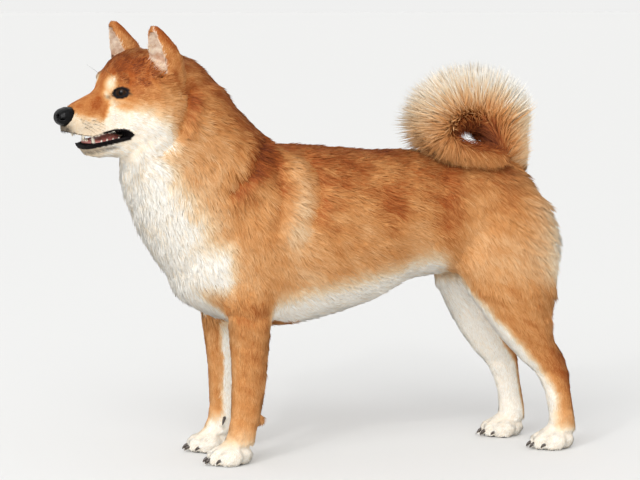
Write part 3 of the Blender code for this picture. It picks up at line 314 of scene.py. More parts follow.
def seen_from(points, matrix):
    """Rows of points in a frame's own coordinates."""
    inverse = np.array(matrix.inverted())
    return points @ inverse[:3, :3].T + inverse[:3, 3]


def as_left(points):
    """Places on the right half seen as their twins on the left."""
    return np.c_[points[:, 0], np.abs(points[:, 1]), points[:, 2]]


def toward(values, others, share):
    """Values moved a share of the way to others."""
    return values + (others - values) * share


def soft(values, start, end):
    """0 at start and 1 at end, with a smooth ramp between them."""
    share = np.clip((values - start) / (end - start), 0.0, 1.0)
    return share * share * (3.0 - 2.0 * share)


def blob(points, centre, radii):
    """1 in the middle of a soft ball and 0 away from it."""
    away = (points - np.array(centre)) / np.array(radii)
    return np.exp(-np.sum(away * away, axis=1))


def ripple(points, millimetres, seed):
    """Soft random waves through space, between about -1 and 1."""
    draw = np.random.default_rng(seed)
    turns = draw.normal(size=(7, 3))
    turns *= (2 * math.pi / (millimetres * 0.001)) / np.linalg.norm(turns, axis=1, keepdims=True)
    phases = draw.uniform(0, 2 * math.pi, 7)
    return np.sin(points @ turns.T + phases).sum(axis=1) / 2.6


def near_line(points, line):
    """The distance from points, seen from the side, to a line of places."""
    side = points[:, (0, 2)]
    nearest = np.full(len(points), FAR_OFF)
    for a, b in zip(line, line[1:]):
        a, b = np.array(a), np.array(b)
        along = np.clip(((side - a) @ (b - a)) / ((b - a) @ (b - a)), 0.0, 1.0)
        nearest = np.minimum(nearest, np.linalg.norm(side - a - along[:, None] * (b - a), axis=1))
    return nearest


def relaxed(points, edges, share, rounds):
    """Points evened out among their neighbours without shrinking, each by its own share."""
    count = len(points)
    ends, others = np.concatenate((edges[:, 0], edges[:, 1])), np.concatenate((edges[:, 1], edges[:, 0]))
    number = np.maximum(np.bincount(ends, minlength=count), 1)
    for turn in range(2 * rounds):
        mean = np.stack([np.bincount(ends, points[others, k], count) / number for k in range(3)], axis=1)
        points = points + (mean - points) * (share * (0.60 if turn % 2 == 0 else -0.61))[:, None]
    return points


def unit(vectors):
    """Rows of vectors at length 1."""
    return vectors / np.maximum(np.linalg.norm(vectors, axis=1, keepdims=True), 1e-9)


def lie_table():
    """Every place of the two tables, on both sides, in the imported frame."""
    rows = []
    for table, matrix in ((BODY_LIE, DOG), (HEAD_LIE, HEAD)):
        turn = matrix.to_3x3()
        for place, heading, length, width, lean in table:
            for mirror in ((1, -1) if abs(place[1]) > 0.001 else (1,)):
                where = matrix @ Vector((place[0], place[1] * mirror, place[2]))
                way = (turn @ Vector((heading[0], heading[1] * mirror, heading[2]))).normalized()
                if matrix is DOG and mirror == -1:
                    where += far_leg_shift(place)
                rows.append((*where, *way, length * 0.001, width * 0.001, math.radians(lean)))
    return np.array(rows)


def far_leg_shift(place):
    """The far legs stand ahead of the near ones."""
    x, _, z = place
    if x < 0 and z < 0.19:
        return Vector((-0.005, 0, 0))
    if x > 0.2 and z < 0.22:
        return Vector((-0.030 * min(1.0, (0.26 - z) / 0.14), 0, 0))
    return Vector()


# Rows of place, heading, length, width and lean.
LIE = lie_table()


def lie_of_coat(points):
    """The tips' heading and the tufts' length, width and lean at rows of points, from the nearest places."""
    mixed = np.zeros((len(points), 6))
    for start in range(0, len(points), CHUNK):
        part = points[start:start + CHUNK]
        away = ((part[:, None, :] - LIE[None, :, :3]) ** 2).sum(axis=2)
        weight = 1.0 / (away + 0.00002) ** 2.2
        weight /= weight.sum(axis=1, keepdims=True)
        mixed[start:start + CHUNK] = weight @ LIE[:, 3:]
    return unit(mixed[:, :3]), mixed[:, 3], mixed[:, 4], mixed[:, 5]


def ear_share(head):
    """How far points lie on the ears, from 0 at the skull to 1."""
    return soft(head[:, 2] + 0.25 * (head[:, 0] - 0.03), 0.052, 0.062) * (np.abs(head[:, 1]) > 0.024)


def ear_place(head):
    """Places as seen from an ear, both ears alike: the far one stands further ahead and is turned inwards."""
    cos, sin = math.cos(FAR_EAR_TURN), math.sin(FAR_EAR_TURN)
    x, y = head[:, 0] - EAR_AXIS[0] - FAR_EAR_AHEAD, head[:, 1] + EAR_AXIS[1]
    turned = np.c_[EAR_AXIS[0] + x * cos + y * sin, EAR_AXIS[1] - (y * cos - x * sin), head[:, 2]]
    return np.where((head[:, 1] < 0)[:, None], turned, as_left(head))


def in_ear_cup(head):
    """The thinly haired front of the ears, inside their rims."""
    x, y, z = ear_place(head).T
    heights = (0.006, 0.030, 0.050, 0.064, 0.074, 0.083, 0.089)
    middle = np.interp(z, heights, (0.0500, 0.0505, 0.0505, 0.0520, 0.0535, 0.0545, 0.0550)) + 0.0022
    half = np.interp(z, heights, (0.0175, 0.0205, 0.0205, 0.0165, 0.0125, 0.0085, 0.0045)) - 0.0026
    deep = np.interp(z, heights, (0.0195, 0.0232, 0.0222, 0.0178, 0.0140, 0.0096, 0.0048))
    centre = np.interp(z, heights, (0.0288, 0.0310, 0.0335, 0.0390, 0.0442, 0.0488, 0.0520)) + 0.66 * deep
    spread = np.hypot((x - centre) / (0.74 * deep + 0.0012), (y - middle) / half)
    front = np.interp(z, (0.0260, 0.0305, 0.0356, 0.0506, 0.0640, 0.0740, 0.0892),
                      (0.0300, 0.0370, 0.0455, 0.0548, 0.0556, 0.0566, 0.0560))
    return soft(1.0 - spread, -0.03, 0.10) * soft(front - x, -0.0005, 0.0015) * soft(z, 0.024, 0.029)


def lip_line(xs, line):
    """The height of a lip over each place along the mouth."""
    return np.interp(xs, [x for x, _ in line], [z for _, z in line])


def in_mouth(head):
    """The lining between the lips."""
    top, bottom = lip_line(head[:, 0], UPPER_LIP) + 0.0006, lip_line(head[:, 0], LOWER_LIP) - 0.0006
    inside = (head[:, 0] > 0.0740) & (head[:, 0] < 0.1500) & (head[:, 2] < top) & (head[:, 2] > bottom)
    return inside & (np.abs(head[:, 1]) < 0.04)


def lip_band(head):
    """The black lips: a broad band under the mouth and round the chin, and a thin one above the mouth."""
    x, z = head[:, 0], head[:, 2]
    low, high = lip_line(x, LOWER_LIP), lip_line(x, UPPER_LIP)
    deep = np.interp(x, (0.072, 0.080, 0.110, 0.130), (0.0050, 0.0056, 0.0062, 0.0070))
    under = soft(z, low - deep - 0.0008, low - deep + 0.0006) * (z < low + 0.004) * soft(x, 0.0715, 0.0735)
    thin = np.interp(x, (0.072, 0.085, 0.105, 0.118, 0.146), (0.0030, 0.0024, 0.0015, 0.0011, 0.0011))
    over = (1 - soft(z, high + thin - 0.0003, high + thin + 0.0008)) * (z > high - 0.004)
    over *= soft(x, 0.0705, 0.0735)
    corner = soft(0.0048 - np.hypot(x - 0.0745, z + 0.0455), 0.0, 0.0010)
    return np.maximum.reduce([under * (x < 0.132) * (z < -0.044), over, corner]) * (np.abs(head[:, 1]) < 0.05)


def markings(points, normals):
    """The coat's tone from 0, dark red-brown, through red and pale orange to 1, cream, at rows of points."""
    dog, head = seen_from(points, DOG), seen_from(points, HEAD)
    tone = trunk_tone(dog, normals)
    tone = leg_tone(dog, normals, tone)
    jaw = np.interp(head[:, 0], (0.010, 0.029, 0.051, 0.075, 0.130), (-0.050, -0.058, -0.070, -0.084, -0.090))
    share = soft(head[:, 0], 0.006, 0.024) * (dog[:, 2] > 0.36) * soft(head[:, 2], jaw - 0.010, jaw + 0.004)
    tone = toward(tone, face_tone(head), share)
    tone = toward(tone, ear_tone(head), ear_share(head))
    return np.clip(tone, 0.02, 1.0)


def trunk_tone(dog, normals):
    """Red back that pales down the flanks, a cream throat, chest and belly, painted light on the folds and
    painted shade in the creases.
    """
    x, y, z = dog.T
    side = np.abs(y)
    tone = np.interp(z, (0.18, 0.22, 0.27, 0.33, 0.37, 0.40), (0.60, 0.50, 0.43, 0.37, 0.29, 0.17))
    tone = tone - 0.03 * soft(x, 0.15, 0.23) * (1 - soft(x, 0.27, 0.31))
    tone += 0.035 * ripple(dog, 70, 3) + 0.035 * ripple(dog, 26, 4)
    # Neck: from the nape forwards to the throat.
    forward = (x + 0.10) * -0.75 + (z - 0.455) * -0.66
    white_from = np.interp(z, (0.276, 0.321, 0.372, 0.416), (0.131, 0.133, 0.121, 0.108))
    neck = np.interp(forward, (0.0, 0.02, 0.05, 0.085, 0.105, 0.13), (0.18, 0.31, 0.42, 0.50, 0.60, 0.76))
    neck = toward(neck, 0.99, soft(forward, white_from - 0.024, white_from + 0.016))
    neck = neck + 0.05 * ripple(dog, 20, 8)
    on_neck = soft(-0.80 * x + 0.60 * z, 0.270, 0.315) * (z > 0.25)
    tone = toward(tone, neck, on_neck)
    # Painted light and shade: the coat is paler along each fold that stands out and darker along each crease
    # that lies back.
    for _, line, width, height in FOLDS:
        near = np.exp(-((near_line(dog, line) / (width * 0.0014)) ** 2)) * soft(side, 0.02, 0.05)
        tone += near * height * (0.09 if height > 0 else 0.045)
    for _, middle, size, change in TRUNK_PATCHES:
        tone += change * blob(dog, middle, size)
    # Cream chest between and ahead of the forelegs, and a cream belly.
    chest = soft(-x, 0.098, 0.122) * (1 - soft(z, 0.268, 0.312)) * (z > 0.14)
    edge = np.interp(x, (-0.16, -0.11, -0.05, 0.0, 0.05, 0.11, 0.155, 0.18),
                     (0.225, 0.216, 0.220, 0.232, 0.241, 0.256, 0.270, 0.264))
    belly = (1 - soft(z, edge - 0.024, edge + 0.018)) * (1 - soft(x, 0.165, 0.195))
    belly *= np.maximum(soft(x, -0.066, -0.050), soft(-normals[:, 2], 0.30, 0.60))
    belly *= (z > 0.150) | (side < 0.020)
    return toward(tone, 0.98, np.maximum(chest, belly))


def leg_tone(dog, normals, tone):
    """Orange outside, cream inside, with cream feet and a dark edge behind each hock."""
    x, y, z = dog.T
    inner = soft(-np.sign(y) * normals[:, 1], 0.05, 0.50)
    side = np.abs(y)
    fore = (1 - soft(z, 0.205, 0.245)) * (x < -0.02) * np.maximum(z < 0.190, soft(side, 0.040, 0.055))
    fore *= np.maximum(z < 0.182, 1 - soft(x, -0.064, -0.048))
    outside = np.interp(z, (0.03, 0.05, 0.08, 0.16, 0.20), (0.70, 0.40, 0.36, 0.34, 0.31))
    outside = outside + 0.04 * ripple(dog, 20, 9)
    outside = outside + 0.06 * soft(-normals[:, 0], 0.3, 0.9)
    far_front = np.where(y > 0, soft(-normals[:, 0], 0.05, 0.45), 0.0)
    fore_tone = toward(outside, 0.99, inner * (1 - far_front * soft(z, 0.035, 0.06)))
    tone = toward(tone, fore_tone, fore * (side > 0.018))
    rear = (x > 0.15) * (1 - soft(z, 0.215, 0.245))
    dark = 1.3 * blob(dog, (0.366, 0.0, 0.130), (0.034, 0.2, 0.045))
    dark += blob(dog, (0.362, 0.0, 0.075), (0.010, 0.2, 0.030))
    outside = np.interp(z, (0.02, 0.035, 0.06, 0.12, 0.20), (0.85, 0.58, 0.40, 0.31, 0.38)) - 0.20 * dark
    outside = outside + 0.04 * ripple(dog, 20, 10)
    ahead_of = np.interp(z, (0.03, 0.075, 0.117, 0.172, 0.233), (0.329, 0.331, 0.301, 0.250, 0.197)) - x
    ahead_of -= np.where(y > 0, 0.030 * np.clip((0.26 - z) / 0.14, 0, 1), 0.0)
    inner = soft(-np.sign(y) * normals[:, 1] - 0.7 * normals[:, 0], 0.05, 0.50)
    cream = np.maximum(inner * (1 - soft(-ahead_of, 0.030, 0.044)), soft(ahead_of, -0.012, 0.004))
    tone = toward(tone, toward(outside, 0.99, cream), rear)
    feet = 1 - soft(z, 0.020, 0.036)
    return toward(tone, 0.97, feet)


def face_tone(head):
    """Orange forehead and bridge, cream muzzle sides and cheeks, and a pale spot over each eye."""
    x, z = head[:, 0], head[:, 2]
    folded = as_left(head)
    face = 0.31 - 0.19 * blob(folded, (0.070, 0.024, 0.038), (0.032, 0.036, 0.022))
    face += 0.04 * ripple(head, 14, 5)
    face += 0.16 * blob(folded, (0.030, 0.066, -0.010), (0.022, 0.03, 0.022))
    # Painted shade in the creases round the foot of each ear.
    for line in EAR_FOOT:
        face -= 0.16 * np.exp(-((near_line(folded, line) / 0.0035) ** 2)) * (folded[:, 1] > 0.03)
    edge = np.interp(x, *zip(*CREAM_EDGE))
    blur = np.interp(x, (0.02, 0.06, 0.09, 0.10, 0.11), (0.026, 0.015, 0.011, 0.009, 0.005))
    white = 1 - soft(z + 0.002 * ripple(head, 7, 6), edge - blur, edge + blur)
    spot = blob(folded, (0.0945, 0.0210, 0.0165), (0.0070, 0.0110, 0.0105))
    spot = np.maximum(spot, 0.8 * blob(folded, (0.0990, 0.0210, 0.0040), (0.0045, 0.0090, 0.0090)))
    rust = blob(folded, (0.1085, 0.0200, -0.0085), (0.0095, 0.011, 0.0085))
    patch = blob(folded, (0.0840, 0.0370, -0.0112), (0.0100, 0.014, 0.0045))
    face = face - 0.14 * rust
    cream = 0.95 - 0.08 * soft(x, 0.095, 0.115)
    face = toward(face, cream, np.maximum(white, 0.88 * soft(spot, 0.0, 0.90)))
    return face - 0.34 * patch


def ear_tone(head):
    """Orange backs with a darker rear edge and tip."""
    x, _, z = ear_place(head).T
    back = np.interp(z, (0.03, 0.06, 0.085), (0.016, 0.028, 0.046))
    return 0.20 + 0.17 * soft(x, back, back + 0.016) - 0.05 * soft(z, 0.06, 0.09)


def eye_spread(head):
    """1 at the edge of the opening between the lids and more outside it, measured round each eye."""
    spread = np.full(len(head), FAR_OFF)
    for side in (LEFT, RIGHT):
        outward = -side
        turn = np.array(facing(mirrored(EYE_FACES, side)).to_3x3())
        away = (head - np.array(mirrored(EYE_CENTRE, side))) @ turn
        along = outward * (away[:, 0] * math.cos(EYE_SLANT) + away[:, 1] * outward * math.sin(EYE_SLANT))
        up = away[:, 1] * math.cos(EYE_SLANT) - outward * away[:, 0] * math.sin(EYE_SLANT)
        near = np.hypot(along / EYE_OPENING[0], up / EYE_OPENING[1])
        spread = np.where((away[:, 2] > 0) & (near < spread), near, spread)
    return spread


def whisker_places():
    """Where the whiskers grow on the muzzle, seen from the side."""
    for row in range(3):
        for k in range(4):
            yield 0.1340 - 0.0075 * k - 0.0022 * row, -0.0265 - 0.0048 * row - 0.0006 * k


def soot(head):
    """Where the face is dusted black: under the nose, round the eyes, on the chin and at the whiskers."""
    folded = as_left(head)
    under_nose = 1.2 * blob(folded, (0.1470, 0.004, -0.0400), (0.0095, 0.014, 0.0075))
    muzzle = 0.25 * blob(folded, (0.1330, 0.020, -0.0350), (0.0120, 0.012, 0.0110))
    below = lip_line(head[:, 0], LOWER_LIP) - 0.0085 - head[:, 2]
    chin = 0.75 * (1 - soft(np.abs(below), 0.0, 0.0050)) * soft(head[:, 0], 0.082, 0.096)
    chin *= head[:, 2] < -0.045
    rim = 0.85 * soft(eye_spread(head), 1.24, 1.05)
    corner = 0.85 * blob(folded, (0.0975, 0.0225, 0.0006), (0.0044, 0.006, 0.0026))
    spots = np.zeros(len(head))
    for x, z in whisker_places():
        spots = np.maximum(spots, 0.75 * soft(np.hypot(head[:, 0] - x, head[:, 2] - z), 0.0013, 0.0005))
    spots *= np.abs(head[:, 1]) > 0.008
    return np.clip(np.maximum.reduce([under_nose + muzzle, chin, rim, corner, spots]), 0, 1)


def bake(obj):
    """Replaces an object's mesh by what its modifiers make of it."""
    graph = bpy.context.evaluated_depsgraph_get()
    graph.update()
    mesh = bpy.data.meshes.new_from_object(obj.evaluated_get(graph))
    obj.modifiers.clear()
    obj.data = mesh
    return obj


def piece(name, bm, *materials):
    """An object of a bmesh, with its faces pointing out and shaded smooth."""
    bmesh.ops.recalc_face_normals(bm, faces=bm.faces)
    mesh = bpy.data.meshes.new(name)
    bm.to_mesh(mesh)
    bm.free()
    mesh.shade_smooth()
    made = bpy.data.objects.new(name, mesh)
    for material in materials:
        mesh.materials.append(material)
    bpy.context.scene.collection.objects.link(made)
    return made


def far_rim(made):
    """The points and edges at the far end of what an extrusion made."""
    ring = [g for g in made if isinstance(g, bmesh.types.BMVert)]
    fresh = set(ring)
    edges = [g for g in made if isinstance(g, bmesh.types.BMEdge) and fresh.issuperset(g.verts)]
    return ring, edges


def swept(bm, places, sides, flatten=1.0):
    """Adds a closed bar to a bmesh: a circle drawn along places, each a point and a radius."""
    points = [Vector(p) for p, _ in places]
    frames = []
    for k, (point, radius) in enumerate(places):
        way = (points[min(k + 1, len(points) - 1)] - points[max(k - 1, 0)]).normalized()
        turn = way.to_track_quat("Z", "Y").to_matrix().to_4x4()
        size = Matrix.Diagonal((radius, radius * flatten, radius, 1.0))
        frames.append(Matrix.Translation(point) @ turn @ size)
    first = bmesh.ops.create_circle(bm, cap_ends=True, segments=sides, radius=1.0, matrix=frames[0])
    edges = list({e for v in first["verts"] for e in v.link_edges})
    for before, after in zip(frames, frames[1:]):
        ring, edges = far_rim(bmesh.ops.extrude_edge_only(bm, edges=edges)["geom"])
        bmesh.ops.transform(bm, matrix=after @ before.inverted(), verts=ring)
    bmesh.ops.holes_fill(bm, edges=edges)
    return bm


def bezier_like(a, b, c, share):
    """A point on the soft bend from a to c that leans on b."""
    return a.lerp(b, share).lerp(b.lerp(c, share), share)


def colour(hexes):
    """A hex colour in sRGB as the linear colour that shaders take."""
    values = [int(hexes[k:k + 2], 16) / 255 for k in (1, 3, 5)]
    linear = [v / 12.92 if v <= 0.04045 else ((v + 0.055) / 1.055) ** 2.4 for v in values]
    return (*linear, 1.0)


def node(tree, kind, settings=None, links=None):
    """Adds a node, sets its fields and sockets, and links sockets by name from (node, output) pairs."""
    made = tree.nodes.new(kind)
    for name, value in (settings or {}).items():
        if isinstance(name, str) and hasattr(made, name):
            setattr(made, name, value)
        else:
            made.inputs[name].default_value = value
    for name, (source, output) in (links or {}).items():
        tree.links.new(source.outputs[output], made.inputs[name])
    return made


def finish(name, roughness, **sockets):
    """A material with one Principled shader, whose even values are set on its own sockets."""
    material = bpy.data.materials.new(name)
    material.use_nodes = True
    shader = material.node_tree.nodes["Principled BSDF"]
    shader.inputs["Roughness"].default_value = roughness
    for socket, value in sockets.items():
        shader.inputs[socket.replace("_", " ")].default_value = value
    return material, material.node_tree, shader


def coat_tones(tree, tone):
    """The coat's colours in order of tone: dark red-brown, red, orange, pale orange, cream."""
    ramp = node(tree, "ShaderNodeValToRGB", links={"Fac": tone})
    bar = ramp.color_ramp
    bar.elements[0].color = colour(COAT_TONES[0][1])
    bar.elements[1].color = colour(COAT_TONES[-1][1])
    for position, shade in COAT_TONES[1:-1]:
        bar.elements.new(position).color = colour(shade)
    return ramp


def stored(tree, *names):
    """The numbers stored at a mesh's points, each as a node."""
    return [node(tree, "ShaderNodeAttribute", {"attribute_name": name}) for name in names]


def darkened(tree, shader, shade, share, base):
    """Gives a finish its base colour, with a share of black skin or soot over it."""
    black = node(tree, "ShaderNodeMix", {"data_type": "RGBA", 7: colour(shade)}, {0: (share, "Fac"), 6: base})
    tree.links.new(black.outputs[2], shader.inputs["Base Color"])


def hair_of_coat():
    """Guard hair: dry, straight and softly glossy, with painted shade towards its root, each tuft with its
    own tone.
    """
    material, tree, shader = finish("dog_guard_hair", 0.72, Specular_IOR_Level=0.18)
    tone, own, along, sooty = stored(tree, "tone", "tuft", "along", "soot")
    vary = node(tree, "ShaderNodeMath", {"operation": "MULTIPLY_ADD", 1: 0.14, 2: -0.07},
                {0: (own, "Fac")})
    total = node(tree, "ShaderNodeMath", {"operation": "ADD", "use_clamp": True},
                 {0: (vary, 0), 1: (tone, "Fac")})
    ramp = coat_tones(tree, (total, 0))
    # Painted shade: each tuft is darkened towards its root, where the tufts crowd together.
    shade = node(tree, "ShaderNodeMapRange", {"From Max": 0.6, "To Min": 0.80, "To Max": 1.0},
                 {"Value": (along, "Fac")})
    rooted = node(tree, "ShaderNodeMix", {"data_type": "RGBA", "blend_type": "MULTIPLY", 0: 1.0},
                  {6: (ramp, "Color"), 7: (shade, "Result")})
    darkened(tree, shader, "#161112", sooty, (rooted, 2))
    return material


def haired_skin():
    """Skin under the coat: undercoat in the same markings with painted shade between the tufts, bare in the
    ears, black on lips and soles.
    """
    material, tree, shader = finish("dog_skin_and_undercoat", 0.75, Specular_IOR_Level=0.08)
    tone, bare, dark = stored(tree, "tone", "bare", "dark_skin")
    place = node(tree, "ShaderNodeTexCoord")
    # Underfur clumps about 3 mm across.
    clumps = node(tree, "ShaderNodeTexNoise", {"Scale": 330.0, "Detail": 4.0}, {"Vector": (place, "Object")})
    vary = node(tree, "ShaderNodeMath", {"operation": "MULTIPLY_ADD", 1: 0.20, 2: -0.12},
                {0: (clumps, "Fac")})
    total = node(tree, "ShaderNodeMath", {"operation": "ADD", "use_clamp": True},
                 {0: (vary, 0), 1: (tone, "Fac")})
    ramp = coat_tones(tree, (total, 0))
    # Painted shade: the undercoat is darkened where it lies deep between the tufts.
    deep = node(tree, "ShaderNodeMix",
                {"data_type": "RGBA", "blend_type": "MULTIPLY", 0: 1.0, 7: (0.82, 0.80, 0.78, 1.0)},
                {6: (ramp, "Color")})
    # Veins and creases of the ear's thin skin, about 6 mm apart.
    veins = node(tree, "ShaderNodeTexNoise", {"Scale": 160.0, "Detail": 3.0}, {"Vector": (place, "Object")})
    cup = node(tree, "ShaderNodeValToRGB", links={"Fac": (veins, "Fac")})
    thin, thick = cup.color_ramp.elements
    thin.position, thin.color = 0.30, colour("#C2A088")
    thick.position, thick.color = 0.70, colour("#EBDCC9")
    pink = node(tree, "ShaderNodeMix", {"data_type": "RGBA"},
                {0: (bare, "Fac"), 6: (deep, 2), 7: (cup, "Color")})
    darkened(tree, shader, "#100C0D", dark, (pink, 2))
    rough = node(tree, "ShaderNodeMapRange", {"To Min": 0.75, "To Max": 0.60}, {"Value": (dark, "Fac")})
    tree.links.new(rough.outputs["Result"], shader.inputs["Roughness"])
    bump = node(tree, "ShaderNodeBump", {"Strength": 0.35, "Distance": 0.0012}, {"Height": (clumps, "Fac")})
    tree.links.new(bump.outputs["Normal"], shader.inputs["Normal"])
    return material


def flecked(name, roughness, pattern, colours, bump=None, **sockets):
    """A finish flecked between two colours by a pattern, which bump also raises off the surface."""
    material, tree, shader = finish(name, roughness, **sockets)
    kind, output, settings = pattern
    place = node(tree, "ShaderNodeTexCoord")
    flecks = node(tree, kind, settings, {"Vector": (place, "Object")})
    ramp = node(tree, "ShaderNodeValToRGB", links={"Fac": (flecks, output)})
    for element, shade in zip(ramp.color_ramp.elements, colours):
        element.color = colour(shade)
    tree.links.new(ramp.outputs["Color"], shader.inputs["Base Color"])
    if bump:
        relief = node(tree, "ShaderNodeBump", bump, {"Height": (flecks, output)})
        tree.links.new(relief.outputs["Normal"], shader.inputs["Normal"])
    return material


def nose_leather():
    """Nose leather: black, damp and pebbled, so that it glints."""
    # Pebbles about 0.8 mm across, a little coarser than real ones so that they show.
    pebbles = ("ShaderNodeTexVoronoi", "Distance", {"Scale": 1250.0})
    relief = {"Strength": 0.45, "Distance": 0.0003, "invert": True}
    return flecked("dog_nose_leather", 0.36, pebbles, ("#0C0B0D", "#030303"), relief, Specular_IOR_Level=0.13)


def lip_skin():
    """Lips and eye rims: smooth black skin, creased about every 2 mm, moist but hardly glossy."""
    creases = ("ShaderNodeTexNoise", "Fac", {"Scale": 520.0, "Detail": 3.0})
    relief = {"Strength": 0.3, "Distance": 0.0003}
    return flecked("dog_lip_and_lid_skin", 0.50, creases, ("#080607", "#120D0E"), relief,
                   Specular_IOR_Level=0.05)


def wet_tongue():
    """Tongue: pink and wet, with papillae about 0.7 mm apart."""
    papillae = ("ShaderNodeTexNoise", "Fac", {"Scale": 1400.0, "Detail": 2.0})
    relief = {"Strength": 0.4, "Distance": 0.0003}
    return flecked("dog_tongue_skin", 0.30, papillae, ("#B5605A", "#DE9288"), relief,
                   Specular_IOR_Level=0.5, Subsurface_Weight=0.15)


def tooth_enamel():
    """Enamel: ivory and glossy, yellower in patches about 4 mm across."""
    stain = ("ShaderNodeTexNoise", "Fac", {"Scale": 260.0})
    return flecked("dog_tooth_enamel", 0.22, stain, ("#E2D3B4", "#F7F1E4"), Specular_IOR_Level=0.55)


def claw_horn():
    """Claw horn: dark grey-brown, streaked about every 1.4 mm, with a dull shine."""
    layers = ("ShaderNodeTexNoise", "Fac", {"Scale": 700.0, "Detail": 3.0})
    relief = {"Strength": 0.3, "Distance": 0.0002}
    return flecked("dog_claw_horn", 0.40, layers, ("#1E1917", "#54463C"), relief, Specular_IOR_Level=0.45)


def eye_part(name, dark, light, scale):
    """A wet part of the eye under the clear cornea, flecked between two colours."""
    flecks = ("ShaderNodeTexNoise", "Fac", {"Scale": scale, "Detail": 3.0})
    return flecked(name, 0.30, flecks, (dark, light),
                   Specular_IOR_Level=0.03, Coat_Weight=0.16, Coat_Roughness=0.02)


def studio_paper():
    """Seamless studio paper: nearly white and matt."""
    material, _, shader = finish("studio_paper", 0.9, Specular_IOR_Level=0.05)
    shader.inputs["Base Color"].default_value = colour("#E3E3E2")
    return material


def mirrored(vector, side):
    """A point of the left half of the head, or its twin on the right: the head's +Y is the dog's left."""
    return Vector((vector[0], -side * vector[1], vector[2]))


def facing(direction):
    """A turn that brings +Z to a direction in the head's frame and keeps +Y as near as it can to up."""
    z = Vector(direction).normalized()
    x = Vector((0.0, 0.0, 1.0)).cross(z).normalized()
    return Matrix((x, z.cross(x), z)).transposed().to_4x4()


def eye_frame(side):
    """From an eye's own frame, with +Z along its gaze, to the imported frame."""
    return HEAD @ Matrix.Translation(mirrored(EYE_CENTRE, side)) @ facing(mirrored(EYE_FACES, side))


def tail_at(t):
    """A place along the tail, t from 0 to 1: the point, the flesh's radius and the hair's reach."""
    last = len(TAIL_PATH) - 1
    spot = t * last
    k = min(int(spot), last - 1)
    a, b, c, d = (np.array(TAIL_PATH[min(max(k + i, 0), last)]) for i in (-1, 0, 1, 2))
    s = spot - k
    squared, cubed = (2 * a - 5 * b + 4 * c - d) * s ** 2, (3 * b - a - 3 * c + d) * s ** 3
    row = 0.5 * (2 * b + (c - a) * s + squared + cubed)
    return DOG @ Vector(row[:3]), row[3], row[4]


# The solids that the one skin replaces.
FLESH = [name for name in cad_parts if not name.startswith(("eye", "nose", "tongue", "tail"))]


def flesh_mass():
    """The solids of flesh, each swollen to meet its neighbours, with filled eye sockets and a bare tail."""
    bm = bmesh.new()
    for name in FLESH:
        part = bmesh.new()
        part.from_mesh(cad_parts[name].data)
        bmesh.ops.remove_doubles(part, verts=part.verts, dist=MERGE)
        part.normal_update()
        for vertex in part.verts:
            vertex.co += vertex.normal * SEAM
        if name == "lower_jaw":
            blunt_jaw(part)
        mesh = bpy.data.meshes.new("flesh")
        part.to_mesh(mesh)
        part.free()
        bm.from_mesh(mesh)
    for side in (LEFT, RIGHT):
        centre = HEAD @ Matrix.Translation(mirrored(EYE_CENTRE, side))
        bmesh.ops.create_uvsphere(bm, u_segments=24, v_segments=14, radius=EYE_RADIUS + 0.0008, matrix=centre)
    tail = []
    for k in range(41):
        point, radius, _ = tail_at(k / 40)
        tail.append((point, radius * TAIL_CORE))
    swept(bm, tail, 16)
    return piece("dog_skin", bm)


def blunt_jaw(part):
    """Rounds off the front of the lower jaw."""
    back = HEAD.inverted()
    for vertex in part.verts:
        place = back @ vertex.co
        if place.x > JAW_FRONT:
            place.x = JAW_FRONT
            vertex.co = HEAD @ place


def coords(mesh):
    """A mesh's points as rows."""
    flat = np.empty(len(mesh.vertices) * 3)
    mesh.vertices.foreach_get("co", flat)
    return flat.reshape(-1, 3)


def point_normals(mesh):
    """The smooth direction out of a mesh at each of its points."""
    flat = np.empty(len(mesh.vertices) * 3)
    mesh.vertices.foreach_get("normal", flat)
    return unit(flat.reshape(-1, 3))


def sink_to_skin(skin):
    """Moves the skin in by the coat's depth, shapes its folds and forms, and clears the mouth and eyes."""
    mesh = skin.data
    points, normals = coords(mesh), point_normals(mesh)
    edges = np.empty(len(mesh.edges) * 2, dtype=np.int32)
    mesh.edges.foreach_get("vertices", edges)
    edges = edges.reshape(-1, 2)
    dog, head = seen_from(points, DOG), seen_from(points, HEAD)
    fine = np.maximum.reduce([
        soft(eye_spread(head), 2.4, 1.8), soft(lip_band(head), 0.0, 0.3), ear_share(head) * 0.9,
        in_mouth(head) * 1.0, 1 - soft(dog[:, 2], 0.020, 0.045)])
    points = relaxed(points, edges, 1 - 0.85 * fine, 14)
    _, length, _, lean = lie_of_coat(points)
    depth = 0.72 * length * np.sin(lean) * (1 - ear_share(head))
    depth[tail_share(points)[0] < 0.021] = 0.0
    depth[dog[:, 2] < 0.003] = 0.0
    depth *= 1 - 0.8 * lip_band(head)
    moved = points - normals * depth[:, None]
    for _, line, width, height in FOLDS:
        near = np.exp(-((near_line(dog, line) / (width * 0.001)) ** 2)) * soft(np.abs(dog[:, 1]), 0.025, 0.05)
        moved += normals * (near * height * 0.001)[:, None]
    folded = as_left(head)
    for _, middle, size, height in HEAD_FORMS:
        moved += normals * (blob(folded, middle, size) * height * 0.001)[:, None]
    upper, lower = lip_line(head[:, 0], UPPER_LIP) + 0.0008, lip_line(head[:, 0], LOWER_LIP) - 0.0008
    here = in_mouth(head)
    rise = np.where(head[:, 2] > (upper + lower) / 2, upper, lower) - head[:, 2]
    up = np.array(HEAD.to_3x3() @ Vector((0, 0, 1)))
    moved[here] = points[here] + rise[here, None] * up
    for side in (LEFT, RIGHT):
        centre = np.array(HEAD @ mirrored(EYE_CENTRE, side))
        away = points - centre
        reach = np.linalg.norm(away, axis=1)
        gaze = np.array(HEAD.to_3x3() @ mirrored(EYE_FACES, side).normalized())
        open_front = (reach < EYE_RADIUS + 0.0016) & (away @ gaze > 0.2 * reach)
        moved[open_front] = centre + away[open_front] / reach[open_front, None] * (EYE_RADIUS * 0.80)
    moved = relaxed(moved, edges, 1 - 0.6 * fine, 1)
    mesh.vertices.foreach_set("co", moved.ravel())
    mesh.update()


